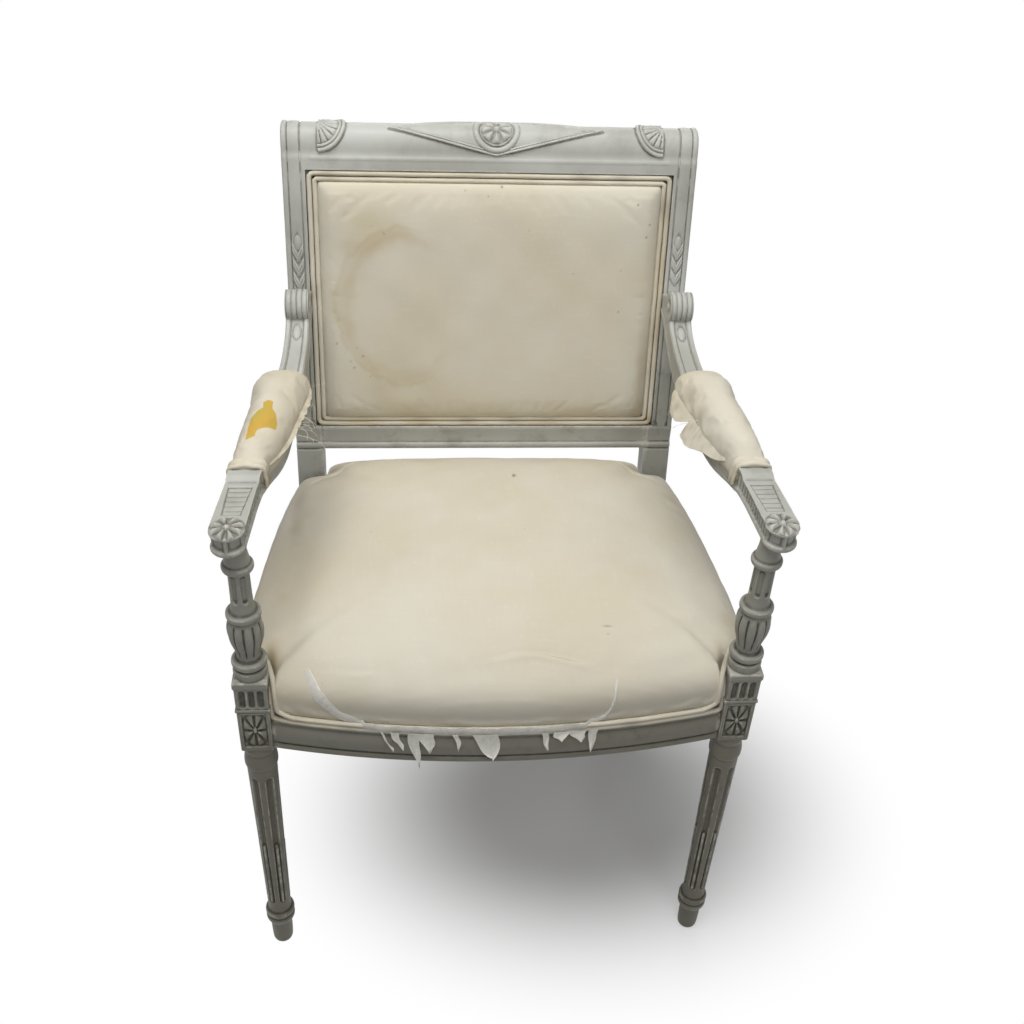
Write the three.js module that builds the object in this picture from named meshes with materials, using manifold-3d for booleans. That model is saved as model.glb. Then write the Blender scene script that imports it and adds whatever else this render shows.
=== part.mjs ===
import * as THREE from "three";
import { mergeVertices } from "three/addons/utils/BufferGeometryUtils.js";
import Module from "manifold-3d";

// Painted open armchair with turned front legs, scrolled arms and a sprung seat.
// Millimetres, +Z up, the sitter looks along -Y, the front leg axes stand on y = 0.

const wasm = await Module();
wasm.setup();

// Fits between pieces
const gap = 0.3;
const weldTolerance = 0.001;
const overrun = 4;
const tenonThickness = 10;
const tenonLength = 12;
const tenonShoulder = 8;

// Front legs
const frontLegSpacing = 524;
const legHeight = 368;
const legRadius = 18.5;
const turnedSides = 16;
const legFluteCount = 6;
const fluteRadius = 4.2;
const fluteDepth = 2.4;
const blockWidth = 34.5;
const rosetteBlockHeight = 62;
const ledgeHeight = 4;
const flutedBlockHeight = 29;
const corniceHeight = 10;
const ledgeProjection = 1.2;
const panelSink = 2;
const panelBorder = 4;

// Arm supports, from the cornice of the leg to the arm
const supportRadius = 18.6;
const supportHeight = 177;
const supportTenonRadius = 7;
const supportTenonLength = 24;
const supportHeadRadius = 5;
const supportHeadLength = 12;

// Arms
const armBlockHeight = 27;
const armBlockLength = 84;
const armBlockWidth = 34;
const armSpread = 532;
const armNoseAhead = 11;
const armRearSpread = 448;
const armRearWidth = 26.5;
const scrollRadius = 18;
const scrollSetback = 44;
const scrollLift = 65;
const padSeatSink = 9;
const padWidth = 52;
const padRearShare = 0.636;
const padCrown = 31;
const padSkirt = 12;

// Seat rails
const railHeight = 52;
const railThickness = 28;
const frontRailBow = 27;
const frontRailSetback = 3.5;
const sideRailSetback = 2.5;
const frontRailSteps = 12;
const tackingRebateHeight = 12;
const tackingRebateDepth = 9;

// Back posts and rear legs
const seatDepth = 346;
const rakeRise = 32;
const rakeDegrees = 9.1;
const backWidth = 479;
const crestWidth = 476;
const postWidth = 33.5;
const postDepth = 32;
const rearFootSize = 26;
const rearLegSplay = 58;

// Back frame, heights measured up the raked back from the rake start
const lowerRailStart = 106;
const lowerRailHeight = 39;
const crestStart = 448;
const crestHeight = 57;
const crestRoll = 10;
const panelRebateWidth = 7.5;
const panelCorner = 9;
const panelRebateDepth = 11;
const rearRebateDepth = 5;

// Soft pieces
const coverThickness = 1.2;
const weltThickness = 6;
const shoulderRise = 51;
const seatRearLift = 25;
const crownOverSprings = 65;
const seatSideBulge = 23;
const seatFrontBulge = 12;
const backCrown = 11;
const backWeltWidth = 14;

// Webbing, springs and canvas under the seat
const webWidth = 62;
const webThickness = 2;
const backWebWidth = 56;
const backWebThickness = 1.5;
const webGap = 0.4;
const springWire = 3.6;
const springEndRadius = 37;
const springWaistRadius = 24;
const springCurls = 4;
const springRise = 38;
const canvasThickness = 1.5;

// Corner blocks and screws
const cornerBlockReach = 68;
const cornerBlockHeight = 34;
const screwLength = 42;
const screwRadius = 2.2;
const screwHeadRadius = 4.4;
const armScrewLength = 66;

// Places that follow from the sizes
const legX = frontLegSpacing / 2;
const blockHalf = blockWidth / 2;
const railTop = legHeight + railHeight;
const railMiddle = legHeight + railHeight / 2;
const rakeStart = legHeight + rakeRise;
const springTop = railTop + springRise;
const seatShoulder = railTop + shoulderRise;
const seatCrown = springTop + crownOverSprings;
const corniceTop = legHeight + rosetteBlockHeight + ledgeHeight + flutedBlockHeight + corniceHeight;
const armUnderside = corniceTop + supportHeight;
const armTop = armUnderside + armBlockHeight;
const rake = THREE.MathUtils.degToRad(rakeDegrees);
const postOuter = backWidth / 2;
const postInner = postOuter - postWidth;
const crestHalf = crestWidth / 2;
const lowerRailTop = lowerRailStart + lowerRailHeight;
const sideRailFront = legX + blockHalf - sideRailSetback;
const sideRailRear = postOuter - sideRailSetback;
const rearRailY = postFrontAt(railMiddle) + railThickness / 7;

const paint = { color: 0x8f9086, roughness: 0.62, metalness: 0 };
const calico = { color: 0xcfc6b0, roughness: 0.95, metalness: 0 };
const jute = { color: 0x9c8257, roughness: 0.95, metalness: 0 };
const hair = { color: 0x5d5348, roughness: 1, metalness: 0 };
const beech = { color: 0xa9865c, roughness: 0.75, metalness: 0 };
const steel = { color: 0x777570, roughness: 0.45, metalness: 0.9 };

// Turns a closed geometry into a solid that can be joined and cut
function solid(geometry) {
  const bare = new THREE.BufferGeometry();
  bare.setAttribute("position", geometry.getAttribute("position").clone());
  if (geometry.index) bare.setIndex(geometry.index.clone());
  const merged = mergeVertices(bare, weldTolerance);
  const source = merged.index.array;
  const triangles = [];
  for (let i = 0; i < source.length; i += 3) {
    const [a, b, c] = [source[i], source[i + 1], source[i + 2]];
    if (a !== b && b !== c && c !== a) triangles.push(a, b, c);
  }
  const points = new Float32Array(merged.getAttribute("position").array);
  if (signedVolume(points, triangles) < 0) triangles.reverse();
  const mesh = new wasm.Mesh({ numProp: 3, vertProperties: points, triVerts: new Uint32Array(triangles) });
  return new wasm.Manifold(mesh);
}

function signedVolume(points, triangles) {
  let sum = 0;
  const at = (i) => new THREE.Vector3(points[3 * i], points[3 * i + 1], points[3 * i + 2]);
  for (let i = 0; i < triangles.length; i += 3) {
    const [a, b, c] = [at(triangles[i]), at(triangles[i + 1]), at(triangles[i + 2])];
    sum += a.dot(b.cross(c));
  }
  return sum;
}

function geometryOf(body) {
  const mesh = body.getMesh();
  const geometry = new THREE.BufferGeometry();
  geometry.setAttribute("position", new THREE.BufferAttribute(new Float32Array(mesh.vertProperties), 3));
  geometry.setIndex(new THREE.BufferAttribute(new Uint32Array(mesh.triVerts), 1));
  geometry.computeVertexNormals();
  return geometry;
}

// Triangles that close a flat ring of points, numbered from first
function cap(ring, first) {
  const normal = new THREE.Vector3();
  ring.forEach((p, i) => normal.add(p.clone().cross(ring[(i + 1) % ring.length])));
  const toFlat = new THREE.Quaternion().setFromUnitVectors(normal.normalize(), new THREE.Vector3(0, 0, 1));
  const flat = ring.map((p) => p.clone().applyQuaternion(toFlat)).map((p) => new THREE.Vector2(p.x, p.y));
  return THREE.ShapeUtils.triangulateShape(flat, []).flat().map((i) => first + i);
}

// Joins rings of equally many points into one closed body, or into a closed loop
function loft(rings, looped = false) {
  const count = rings[0].length;
  const points = rings.flat().flatMap((p) => [p.x, p.y, p.z]);
  const triangles = [];
  const spans = looped ? rings.length : rings.length - 1;
  for (let k = 0; k < spans; k += 1) {
    const low = k * count;
    const high = ((k + 1) % rings.length) * count;
    for (let i = 0; i < count; i += 1) {
      const j = (i + 1) % count;
      triangles.push(low + i, low + j, high + j, low + i, high + j, high + i);
    }
  }
  if (!looped) {
    const last = rings.length - 1;
    for (const [ring, first] of [[rings[0], 0], [rings[last], last * count]]) {
      let closing = cap(ring, first);
      if (closing.length < 3 * (count - 2)) {
        const hub = points.length / 3;
        points.push(...middleOf(ring).toArray());
        closing = ring.flatMap((_, i) => [hub, first + i, first + ((i + 1) % count)]);
      }
      triangles.push(...(edgesAgree(triangles, closing) ? closing : closing.reverse()));
    }
  }
  if (signedVolume(points, triangles) < 0) triangles.reverse();
  const geometry = new THREE.BufferGeometry();
  geometry.setAttribute("position", new THREE.Float32BufferAttribute(points, 3));
  geometry.setIndex(triangles);
  return geometry;
}

function middleOf(ring) {
  return ring.reduce((sum, p) => sum.add(p), new THREE.Vector3()).divideScalar(ring.length);
}

// True where a cap runs each shared edge the other way from the walls
function edgesAgree(walls, caps) {
  const seen = new Set();
  for (let i = 0; i < walls.length; i += 3) {
    for (let j = 0; j < 3; j += 1) seen.add(`${walls[i + j]}>${walls[i + ((j + 1) % 3)]}`);
  }
  for (let i = 0; i < caps.length; i += 3) {
    for (let j = 0; j < 3; j += 1) {
      if (seen.has(`${caps[i + j]}>${caps[i + ((j + 1) % 3)]}`)) return false;
    }
  }
  return true;
}

const vec = (x, y, z) => new THREE.Vector3(x, y, z);

// A turned body about +Z from shares of a radius and a height
function turned(shares, radius, height, segments) {
  const profile = shares.map(([r, z]) => new THREE.Vector2(r * radius, z * height));
  const lathe = new THREE.LatheGeometry(profile, segments);
  lathe.rotateX(Math.PI / 2);
  return lathe;
}

// A round bar along +Z from one height to another
function bar(radius, bottom, top, segments = 12) {
  const length = top - bottom;
  const rod = new THREE.CylinderGeometry(radius, radius, length, segments);
  rod.rotateX(Math.PI / 2);
  rod.translate(0, 0, bottom + length / 2);
  return rod;
}

function box(x0, x1, y0, y1, z0, z1) {
  const shape = new THREE.BoxGeometry(Math.abs(x1 - x0), Math.abs(y1 - y0), Math.abs(z1 - z0));
  shape.translate((x0 + x1) / 2, (y0 + y1) / 2, (z0 + z1) / 2);
  return shape;
}

// Sweeps a flat section of [across, up] points along a path
function sweep(path, section, upAt) {
  const rings = path.map((point, i) => {
    const before = path[Math.max(i - 1, 0)];
    const after = path[Math.min(i + 1, path.length - 1)];
    const along = after.clone().sub(before).normalize();
    const up = upAt(i).clone().addScaledVector(along, -upAt(i).dot(along)).normalize();
    const across = along.clone().cross(up);
    return section.map(([a, b]) => point.clone().addScaledVector(across, a).addScaledVector(up, b));
  });
  return loft(rings);
}

function mix(a, b, share) {
  return a + (b - a) * share;
}

// Depth of the post's front face at a height above the floor
function postFrontAt(z) {
  return seatDepth + (z - rakeStart) * Math.tan(THREE.MathUtils.degToRad(rakeDegrees));
}

// Outer face of the bowed front rail
function frontRailFace(x) {
  const half = legX - blockHalf;
  const radius = (half * half + frontRailBow * frontRailBow) / (2 * frontRailBow);
  const drop = Math.sqrt(radius * radius - x * x) - (radius - frontRailBow);
  return -(blockHalf - frontRailSetback) - drop;
}

// Outer face of a side rail, as a distance from the middle
function sideRailFace(y) {
  return mix(sideRailFront, sideRailRear, (y - blockHalf) / (seatDepth - blockHalf));
}

// The raked back stands in its own frame, with y into the back and z up along it
const backFrame = new THREE.Matrix4()
  .makeTranslation(0, seatDepth, rakeStart)
  .multiply(new THREE.Matrix4().makeRotationX(-rake));
const backFrameInverse = backFrame.clone().invert();
const intoBack = (geometry) => geometry.clone().applyMatrix4(backFrameInverse);
const outOfBack = (geometry) => geometry.clone().applyMatrix4(backFrame);

function postOuterAt(h) {
  const share = Math.max(0, h - lowerRailStart) / (crestStart - lowerRailStart);
  return mix(postOuter, crestHalf, share);
}

const group = new THREE.Group();
const back = new THREE.Group();
back.position.set(0, seatDepth, rakeStart);
back.rotation.x = -rake;
group.add(back);

function add(parent, name, geometry, look, x = 0, y = 0, z = 0) {
  const mesh = new THREE.Mesh(geometry, new THREE.MeshStandardMaterial(look));
  mesh.name = name;
  mesh.position.set(x, y, z);
  parent.add(mesh);
  return mesh;
}

// Rail tenons: a tongue along x or y, grown on every side for its mortise
function tongue(x0, x1, y0, y1, grow) {
  const low = legHeight + tenonShoulder - grow;
  const high = railTop - tackingRebateHeight - tenonShoulder + grow;
  return box(x0, x1, y0, y1, low, high);
}

// Front legs with their square blocks

const legProfileShares = [
  [0, 0], [0.57, 0], [0.66, 0.01], [0.72, 0.122], [0.89, 0.134], [0.94, 0.146], [0.88, 0.156],
  [0.94, 0.166], [0.87, 0.177], [0.77, 0.186], [0.74, 0.228], [0.9, 0.87], [0.91, 0.888],
  [1, 0.9], [1, 0.916], [0.94, 0.928], [0.85, 0.952], [0.87, 0.985], [0.87, 1.008], [0, 1.008],
];
const legFluteStartShare = 0.235;
const legFluteEndShare = 0.868;
const legShaftLowShare = 0.74;
const legShaftHighShare = 0.9;

// Cutters for the hollow flutes round a tapered shaft
function flutes(count, low, high, lowRadius, highRadius, radius, depth) {
  const length = high - low;
  const roundEnd = Math.min(radius, length / 4);
  const profile = [[0, 0], [radius, roundEnd], [radius, length - roundEnd], [0, length]];
  const lean = Math.atan2(highRadius - lowRadius, length);
  return Array.from({ length: count }, (_, i) => {
    const cutter = new THREE.LatheGeometry(profile.map(([r, z]) => new THREE.Vector2(r, z)), 6);
    cutter.rotateX(Math.PI / 2);
    cutter.rotateY(lean);
    cutter.translate(lowRadius + radius - depth, 0, low);
    cutter.rotateZ((2 * Math.PI * (i + 0.5)) / count - Math.PI / 2);
    return solid(cutter);
  });
}

// A square block drawn as a four-sided turning, so steps and bevels are one profile
function squareBlock(profile) {
  const corner = Math.SQRT2;
  const points = profile.map(([half, z]) => new THREE.Vector2(half * corner, z));
  const block = new THREE.LatheGeometry(points, 4);
  block.rotateX(Math.PI / 2);
  block.rotateZ(Math.PI / 4);
  return solid(block);
}

function frontLeg(side) {
  const bevel = ledgeHeight;
  const rosetteTop = legHeight + rosetteBlockHeight;
  const flutedTop = rosetteTop + ledgeHeight + flutedBlockHeight;
  const wide = blockHalf + ledgeProjection;
  let leg = solid(turned(legProfileShares, legRadius, legHeight, turnedSides));
  for (const cutter of flutes(
    legFluteCount, legFluteStartShare * legHeight, legFluteEndShare * legHeight,
    legShaftLowShare * legRadius, legShaftHighShare * legRadius, fluteRadius, fluteDepth,
  )) leg = leg.subtract(cutter);
  leg = leg.add(squareBlock([
    [0, legHeight], [blockHalf - bevel / 4, legHeight], [blockHalf, legHeight + bevel / 2],
    [blockHalf, rosetteTop], [wide, rosetteTop], [wide, rosetteTop + ledgeHeight],
    [blockHalf, rosetteTop + ledgeHeight], [blockHalf, flutedTop], [wide, flutedTop + ledgeProjection],
    [wide, corniceTop], [0, corniceTop],
  ]));
  const panelHalf = blockHalf - panelBorder;
  const panelLow = legHeight + 2 * panelBorder;
  const panelHigh = rosetteTop - panelBorder;
  const sunk = blockHalf - panelSink;
  const past = blockHalf + overrun;
  leg = leg.subtract(solid(box(-panelHalf, panelHalf, -past, -sunk, panelLow, panelHigh)));
  leg = leg.subtract(solid(box(side * sunk, side * past, -panelHalf, panelHalf, panelLow, panelHigh)));
  const socket = corniceTop - supportTenonLength - 1.5 * gap;
  leg = leg.subtract(solid(bar(supportTenonRadius + gap, socket, corniceTop + overrun)));
  leg = leg.subtract(solid(frontTenon(side, gap).translate(-side * legX, 0, 0)));
  return leg.subtract(solid(sideFrontTenon(side, gap).translate(-side * legX, 0, 0)));
}

function frontTenon(side, grow) {
  const face = side * (legX - blockHalf);
  const half = tenonThickness / 2 + grow;
  return tongue(face - side * overrun, face + side * (tenonLength + grow), -half, half, grow);
}

function sideFrontTenon(side, grow) {
  const half = tenonThickness / 2 + grow;
  const middle = side * (sideRailFront - railThickness / 2);
  return tongue(middle - half, middle + half, blockHalf - tenonLength - grow, blockHalf + overrun, grow);
}

for (const [side, label] of [[-1, "left"], [1, "right"]]) {
  add(group, `${label}_front_leg`, geometryOf(frontLeg(side)), paint, side * legX);
}

// Arm supports

const supportProfileShares = [
  [0.9, 0], [0.96, 0.03], [0.93, 0.065], [0.82, 0.078], [0.98, 0.09], [1, 0.108], [0.95, 0.13],
  [0.74, 0.142], [0.7, 0.16], [0.84, 0.25], [0.95, 0.34], [0.94, 0.4], [0.84, 0.437], [0.72, 0.448],
  [0.9, 0.458], [0.94, 0.485], [0.88, 0.51], [0.64, 0.555], [0.6, 0.57], [0.58, 0.785], [0.62, 0.795],
  [0.84, 0.82], [0.85, 0.84], [0.78, 0.855], [0.58, 0.93], [0.56, 1],
];
const supportFluteShares = [0.575, 0.785];
const supportShaftShare = 0.59;

function armSupport() {
  const tail = -supportTenonLength / supportHeight;
  const tailRadius = supportTenonRadius / supportRadius;
  const head = 1 + supportHeadLength / supportHeight;
  const headRadius = supportHeadRadius / supportRadius;
  const outline = [[0, tail], [tailRadius, tail], [tailRadius, 0], ...supportProfileShares,
    [headRadius, 1], [headRadius, head], [0, head]];
  let support = solid(turned(outline, supportRadius, supportHeight, turnedSides));
  const [low, high] = supportFluteShares.map((share) => share * supportHeight);
  const shaft = supportShaftShare * supportRadius;
  const cutters = flutes(legFluteCount, low, high, shaft, shaft, 0.7 * fluteRadius, 0.7 * fluteDepth);
  for (const cutter of cutters) support = support.subtract(cutter);
  return support;
}

for (const [side, label] of [[-1, "left"], [1, "right"]]) {
  add(group, `${label}_arm_support`, geometryOf(armSupport()), paint, side * legX, 0, corniceTop);
}

// Seat rails

// Moulded section as shares of the rail's thickness and of its height below the rebate
const railFaceShares = [
  [0.14, 0], [0.03, 0.07], [0.03, 0.18], [0.12, 0.24], [0.04, 0.33], [0, 0.54], [0.05, 0.76],
  [0.18, 0.9], [0.18, 1],
];

function railSection() {
  const face = railFaceShares.map(([a, b]) => [a * railThickness, b * (railHeight - tackingRebateHeight)]);
  return [
    ...face, [tackingRebateDepth, railHeight - tackingRebateHeight], [tackingRebateDepth, railHeight],
    [railThickness, railHeight], [railThickness, 0],
  ];
}

function frontRail() {
  const half = legX - blockHalf;
  const section = railSection();
  const rings = Array.from({ length: frontRailSteps + 1 }, (_, i) => {
    const x = mix(-half, half, i / frontRailSteps);
    return section.map(([inset, up]) => vec(x, frontRailFace(x) + inset, legHeight + up));
  });
  return solid(loft(rings)).add(solid(frontTenon(-1, 0))).add(solid(frontTenon(1, 0)));
}

function sideRail(side) {
  const section = railSection();
  const ring = (yAt) => section.map(([inset, up]) => {
    const y = yAt(legHeight + up);
    return vec(side * (sideRailFace(y) - inset), y, legHeight + up);
  });
  const rail = solid(loft([ring(() => blockHalf), ring((z) => postFrontAt(z) - gap)]));
  return rail.add(solid(sideFrontTenon(side, 0))).add(solid(sideRearTenon(side, 0)));
}

function sideRearTenon(side, grow) {
  const middle = side * (sideRailRear - railThickness / 2);
  const half = tenonThickness / 2 + grow;
  const reach = seatDepth + tenonLength + grow;
  return tongue(middle - half, middle + half, seatDepth - 2 * overrun, reach, grow);
}

function rearRail() {
  const half = postInner - gap;
  const section = railSection();
  const rings = [-half, half].map((x) => section.map(([inset, up]) => (
    vec(x, rearRailY + railThickness - inset, legHeight + up)
  )));
  return solid(loft(rings)).add(solid(rearTenon(-1, 0))).add(solid(rearTenon(1, 0)));
}

function rearTenon(side, grow) {
  const middle = rearRailY + railThickness / 2;
  const half = tenonThickness / 2 + grow;
  const face = side * postInner;
  const end = face + side * (tenonLength + grow);
  return tongue(face - side * overrun, end, middle - half, middle + half, grow);
}

// Back posts, which run on down as the rear legs

const rearLegRings = 5;
const postTenonTop = crestStart + crestHeight * 0.42;

function post(side) {
  const section = (inner, outer, front, rear, h) => [
    [inner, front], [outer, front], [outer, rear], [inner, rear],
  ].map(([x, y]) => vec(side * x, y, h));
  const straight = [crestStart - gap, lowerRailStart].map((h) => (
    section(postOuterAt(h) - postWidth, postOuterAt(h), 0, postDepth, h)
  ));
  const knee = legHeight - tenonShoulder;
  const footInset = (postWidth - rearFootSize) / 4;
  const leg = Array.from({ length: rearLegRings + 1 }, (_, i) => {
    const share = i / rearLegRings;
    const z = mix(knee, 0, share);
    const middle = postFrontAt(knee) + postDepth / 2 + rearLegSplay * share ** 1.7;
    const halfDepth = mix(postDepth, rearFootSize, share) / 2;
    const outer = postOuter - footInset * share;
    const inner = outer - mix(postWidth, rearFootSize, share);
    const corners = [[inner, -1], [outer, -1], [outer, 1], [inner, 1]];
    return corners.map(([x, way]) => (
      vec(side * x, middle + way * halfDepth, z).applyMatrix4(backFrameInverse)
    ));
  });
  let body = solid(loft([...straight, ...leg]));
  const rebates = [[-overrun, panelRebateDepth], [postDepth - rearRebateDepth, postDepth + overrun]];
  for (const [front, rear] of rebates) {
    const rings = [lowerRailTop - panelRebateWidth, crestStart - gap + overrun].map((h) => {
      const inner = postOuterAt(h) - postWidth;
      return section(inner - overrun, inner + panelRebateWidth, front, rear, h);
    });
    body = body.subtract(solid(loft(rings)));
  }
  body = body.add(solid(postTenon(side, 0)));
  const worldCuts = [sideRearTenon(side, gap), rearTenon(side, gap)];
  for (const cut of worldCuts) body = body.subtract(solid(intoBack(cut)));
  body = body.subtract(solid(lowerRailTenon(side, gap)));
  body = body.subtract(solid(armTenon(side, gap)));
  return body.subtract(solid(armScrewHole(side)));
}

function postTenon(side, grow) {
  const middle = side * (crestHalf - postWidth / 2 + tenonThickness / 4);
  const halfWide = tenonThickness + grow;
  const halfDeep = tenonThickness / 2 + grow;
  const depth = postDepth / 2;
  const [low, high] = [crestStart - overrun, postTenonTop + grow];
  return box(middle - halfWide, middle + halfWide, depth - halfDeep, depth + halfDeep, low, high);
}

// Lower rail of the back frame

const lowerRailShares = [
  [0.1, 0], [0.02, 0.06], [0.02, 0.2], [0.1, 0.26], [0.06, 0.45], [0, 0.6], [0, 0.74],
];

function lowerRail() {
  const half = postOuterAt(lowerRailStart) - postWidth - gap;
  const topHalf = postOuterAt(lowerRailTop) - postWidth - gap;
  const depth = postDepth - gap;
  const rebateFoot = (lowerRailHeight - panelRebateWidth) / lowerRailHeight;
  const section = [
    ...lowerRailShares, [panelRebateDepth / depth, rebateFoot], [panelRebateDepth / depth, 1],
    [1 - rearRebateDepth / depth, 1], [1 - rearRebateDepth / depth, rebateFoot], [1, rebateFoot], [1, 0],
  ];
  const rings = [-1, 1].map((side) => section.map(([a, b]) => (
    vec(side * mix(half, topHalf, b), a * depth, lowerRailStart + b * lowerRailHeight)
  )));
  return solid(loft(rings)).add(solid(lowerRailTenon(-1, 0))).add(solid(lowerRailTenon(1, 0)));
}

function lowerRailTenon(side, grow) {
  const face = side * postInner;
  const middle = postDepth / 2;
  const half = tenonThickness / 2 + grow;
  const low = lowerRailStart + tenonShoulder - grow;
  const high = lowerRailTop - tenonShoulder + grow;
  const end = face + side * (tenonLength + grow);
  return box(face - side * overrun, end, middle - half, middle + half, low, high);
}

// Crest rail, rolled over to the rear

const crestShares = [
  [0, 0], [0, 0.4], [0.06, 0.43], [0.04, 0.62], [0.1, 0.8], [0.24, 0.93], [0.5, 1], [0.8, 0.98],
  [1, 0.9], [1.04, 0.78], [0.98, 0.65], [0.82, 0.55], [0.76, 0.45], [0.76, 0],
];

function crestRail() {
  const depth = postDepth + crestRoll;
  const rings = [-crestHalf, crestHalf].map((x) => crestShares.map(([a, b]) => (
    vec(x, a * depth, crestStart + b * crestHeight)
  )));
  let crest = solid(loft(rings));
  const edge = crestHalf - postWidth + panelRebateWidth;
  const lip = crestStart + panelRebateWidth;
  crest = crest.subtract(solid(box(-edge, edge, -overrun, panelRebateDepth, crestStart - overrun, lip)));
  const rearFloor = postDepth - rearRebateDepth;
  crest = crest.subtract(solid(box(-edge, edge, rearFloor, depth + overrun, crestStart - overrun, lip)));
  for (const side of [-1, 1]) crest = crest.subtract(solid(postTenon(side, gap)));
  return crest;
}

// Arms, sawn to a side outline and to a plan outline

const armRise = scrollLift + scrollRadius;
const armReach = postFrontAt(armUnderside + scrollLift);
const armFront = -armBlockWidth / 2 - armNoseAhead;
const padRear = padRearShare * armReach;
const padLength = padRear - armBlockLength;

// Lower edge of the arm as shares of its reach and of its rise
const armUnderShares = [
  [0.19, 0], [0.2, -0.05], [0.42, -0.09], [0.6, -0.04], [0.72, 0.03], [0.82, 0.15], [0.9, 0.32],
];
// Upper edge from the scroll down to the pad, in the same shares
const armHollowShares = [[0.835, 0.565], [0.79, 0.49], [0.73, 0.43], [0.66, 0.375]];
// The scroll starts at its rear, runs over the top and ends under its front, in shares of a turn
const scrollTurnShares = [0.125, 0.667];

function armSide() {
  const place = ([a, b]) => new THREE.Vector2(a * armReach, armUnderside + b * armRise);
  const scrollY = armReach - scrollSetback;
  const scrollZ = armUnderside + scrollLift;
  const curl = Array.from({ length: 10 }, (_, i) => {
    const angle = 2 * Math.PI * mix(...scrollTurnShares, i / 9);
    const [across, up] = [Math.cos(angle), Math.sin(angle)];
    return new THREE.Vector2(scrollY + scrollRadius * across, scrollZ + scrollRadius * up);
  });
  const rearLow = armUnderside + 0.46 * armRise;
  const rearHigh = armUnderside + 0.73 * armRise;
  const seatZ = armTop - padSeatSink;
  const nose = armBlockHeight / 5;
  return [
    new THREE.Vector2(armFront, armUnderside), ...armUnderShares.map(place),
    new THREE.Vector2(postFrontAt(rearLow) - gap, rearLow),
    new THREE.Vector2(postFrontAt(rearHigh) - gap, rearHigh),
    ...curl, ...armHollowShares.map(place),
    new THREE.Vector2(padRear, seatZ + padSeatSink), new THREE.Vector2(padRear, seatZ),
    new THREE.Vector2(armBlockLength, seatZ), new THREE.Vector2(armBlockLength, armTop),
    new THREE.Vector2(armFront + nose, armTop), new THREE.Vector2(armFront, armTop - nose / 2),
  ];
}

// Stations along the arm behind its block, as [y, middle share, width]
const padWood = padWidth - padSeatSink;
const armStations = [
  [armBlockLength, 0.8, armBlockWidth - padSeatSink / 4], [armBlockLength + padLength * 0.3, 0.5, padWood],
  [armBlockLength + padLength * 0.65, 0.34, padWood - padSeatSink / 2], [padRear, 0.08, armRearWidth],
  [armReach - scrollSetback, 0, armRearWidth], [armReach + overrun, 0, armRearWidth],
];

function armMiddle(y) {
  const share = armStations.reduce((found, [start, value], i) => {
    const [end, next] = armStations[Math.min(i + 1, armStations.length - 1)];
    return y >= start && end > start ? mix(value, next, Math.min(1, (y - start) / (end - start))) : found;
  }, armStations[0][1]);
  return mix(armRearSpread / 2, armSpread / 2, share);
}

function armPlan(side, grow = 0) {
  const noseY = armFront + armBlockWidth / 2;
  const radius = armBlockWidth / 2 + grow;
  const nose = Array.from({ length: 9 }, (_, i) => {
    const angle = Math.PI + (Math.PI * i) / 8;
    return [armSpread / 2 + radius * Math.cos(angle), noseY + radius * Math.sin(angle)];
  });
  const edge = (way) => armStations.map(([y, , width]) => [armMiddle(y) + way * (width / 2 + grow), y]);
  return [...nose, ...edge(1), ...edge(-1).reverse()].map(([x, y]) => new THREE.Vector2(side * x, y));
}

function extruded(outline, depth, basis) {
  const plate = new THREE.ExtrudeGeometry(new THREE.Shape(outline), { depth, bevelEnabled: false });
  if (basis) plate.applyMatrix4(new THREE.Matrix4().makeBasis(...basis));
  return plate;
}

function arm(side) {
  const axes = [vec(0, 1, 0), vec(0, 0, 1), vec(1, 0, 0)];
  const sawn = solid(extruded(armSide(), armSpread, axes).translate(side > 0 ? 0 : -armSpread, 0, 0));
  const blank = extruded(armPlan(side), 2 * armRise).translate(0, 0, armUnderside - armRise / 2);
  let body = sawn.intersect(solid(blank));
  body = body.add(solid(outOfBack(armTenon(side, 0))));
  const socketTop = armUnderside + supportHeadLength + 1.5 * gap;
  const socket = bar(supportHeadRadius + gap, armUnderside - overrun, socketTop);
  body = body.subtract(solid(socket.translate(side * legX, 0, 0)));
  return body.subtract(solid(outOfBack(armScrewHole(side))));
}

// Height of the arm joint up the raked back
const armJoint = (armUnderside + 0.66 * armRise - rakeStart) / Math.cos(rake);

function armTenon(side, grow) {
  const middle = side * (armRearSpread / 2);
  const wide = armRearWidth / 4 + grow;
  const low = armJoint - tenonThickness - grow;
  const high = armJoint - tenonThickness / 5 + grow;
  return box(middle - wide, middle + wide, -2 * overrun, tenonLength + grow, low, high);
}

// Screws

// A countersunk wood screw along -Z with its head flush at z = 0
function screw(length, grow) {
  const head = screwHeadRadius + grow;
  const shank = screwRadius + grow;
  const profile = [
    [0, grow], [head, grow], [head, -grow - screwRadius / 4], [shank, screwRadius - screwHeadRadius - grow],
    [shank, -0.8 * length], [0, -length - 2 * grow],
  ];
  const shape = new THREE.LatheGeometry(profile.map(([r, z]) => new THREE.Vector2(r, z)).reverse(), 8);
  shape.rotateX(Math.PI / 2);
  return shape;
}

const armScrewHeight = armJoint + tenonThickness / 2;

function armScrewPlace(side) {
  return vec(side * (armRearSpread / 2), postDepth - gap, armScrewHeight);
}

function aimed(geometry, place, direction) {
  const turn = new THREE.Quaternion().setFromUnitVectors(vec(0, 0, -1), direction.clone().normalize());
  return geometry.applyQuaternion(turn).translate(place.x, place.y, place.z);
}

function armScrewHole(side) {
  return aimed(screw(armScrewLength, gap), armScrewPlace(side), vec(0, -1, 0));
}

// Corner blocks, each with one screw into either rail

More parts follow.
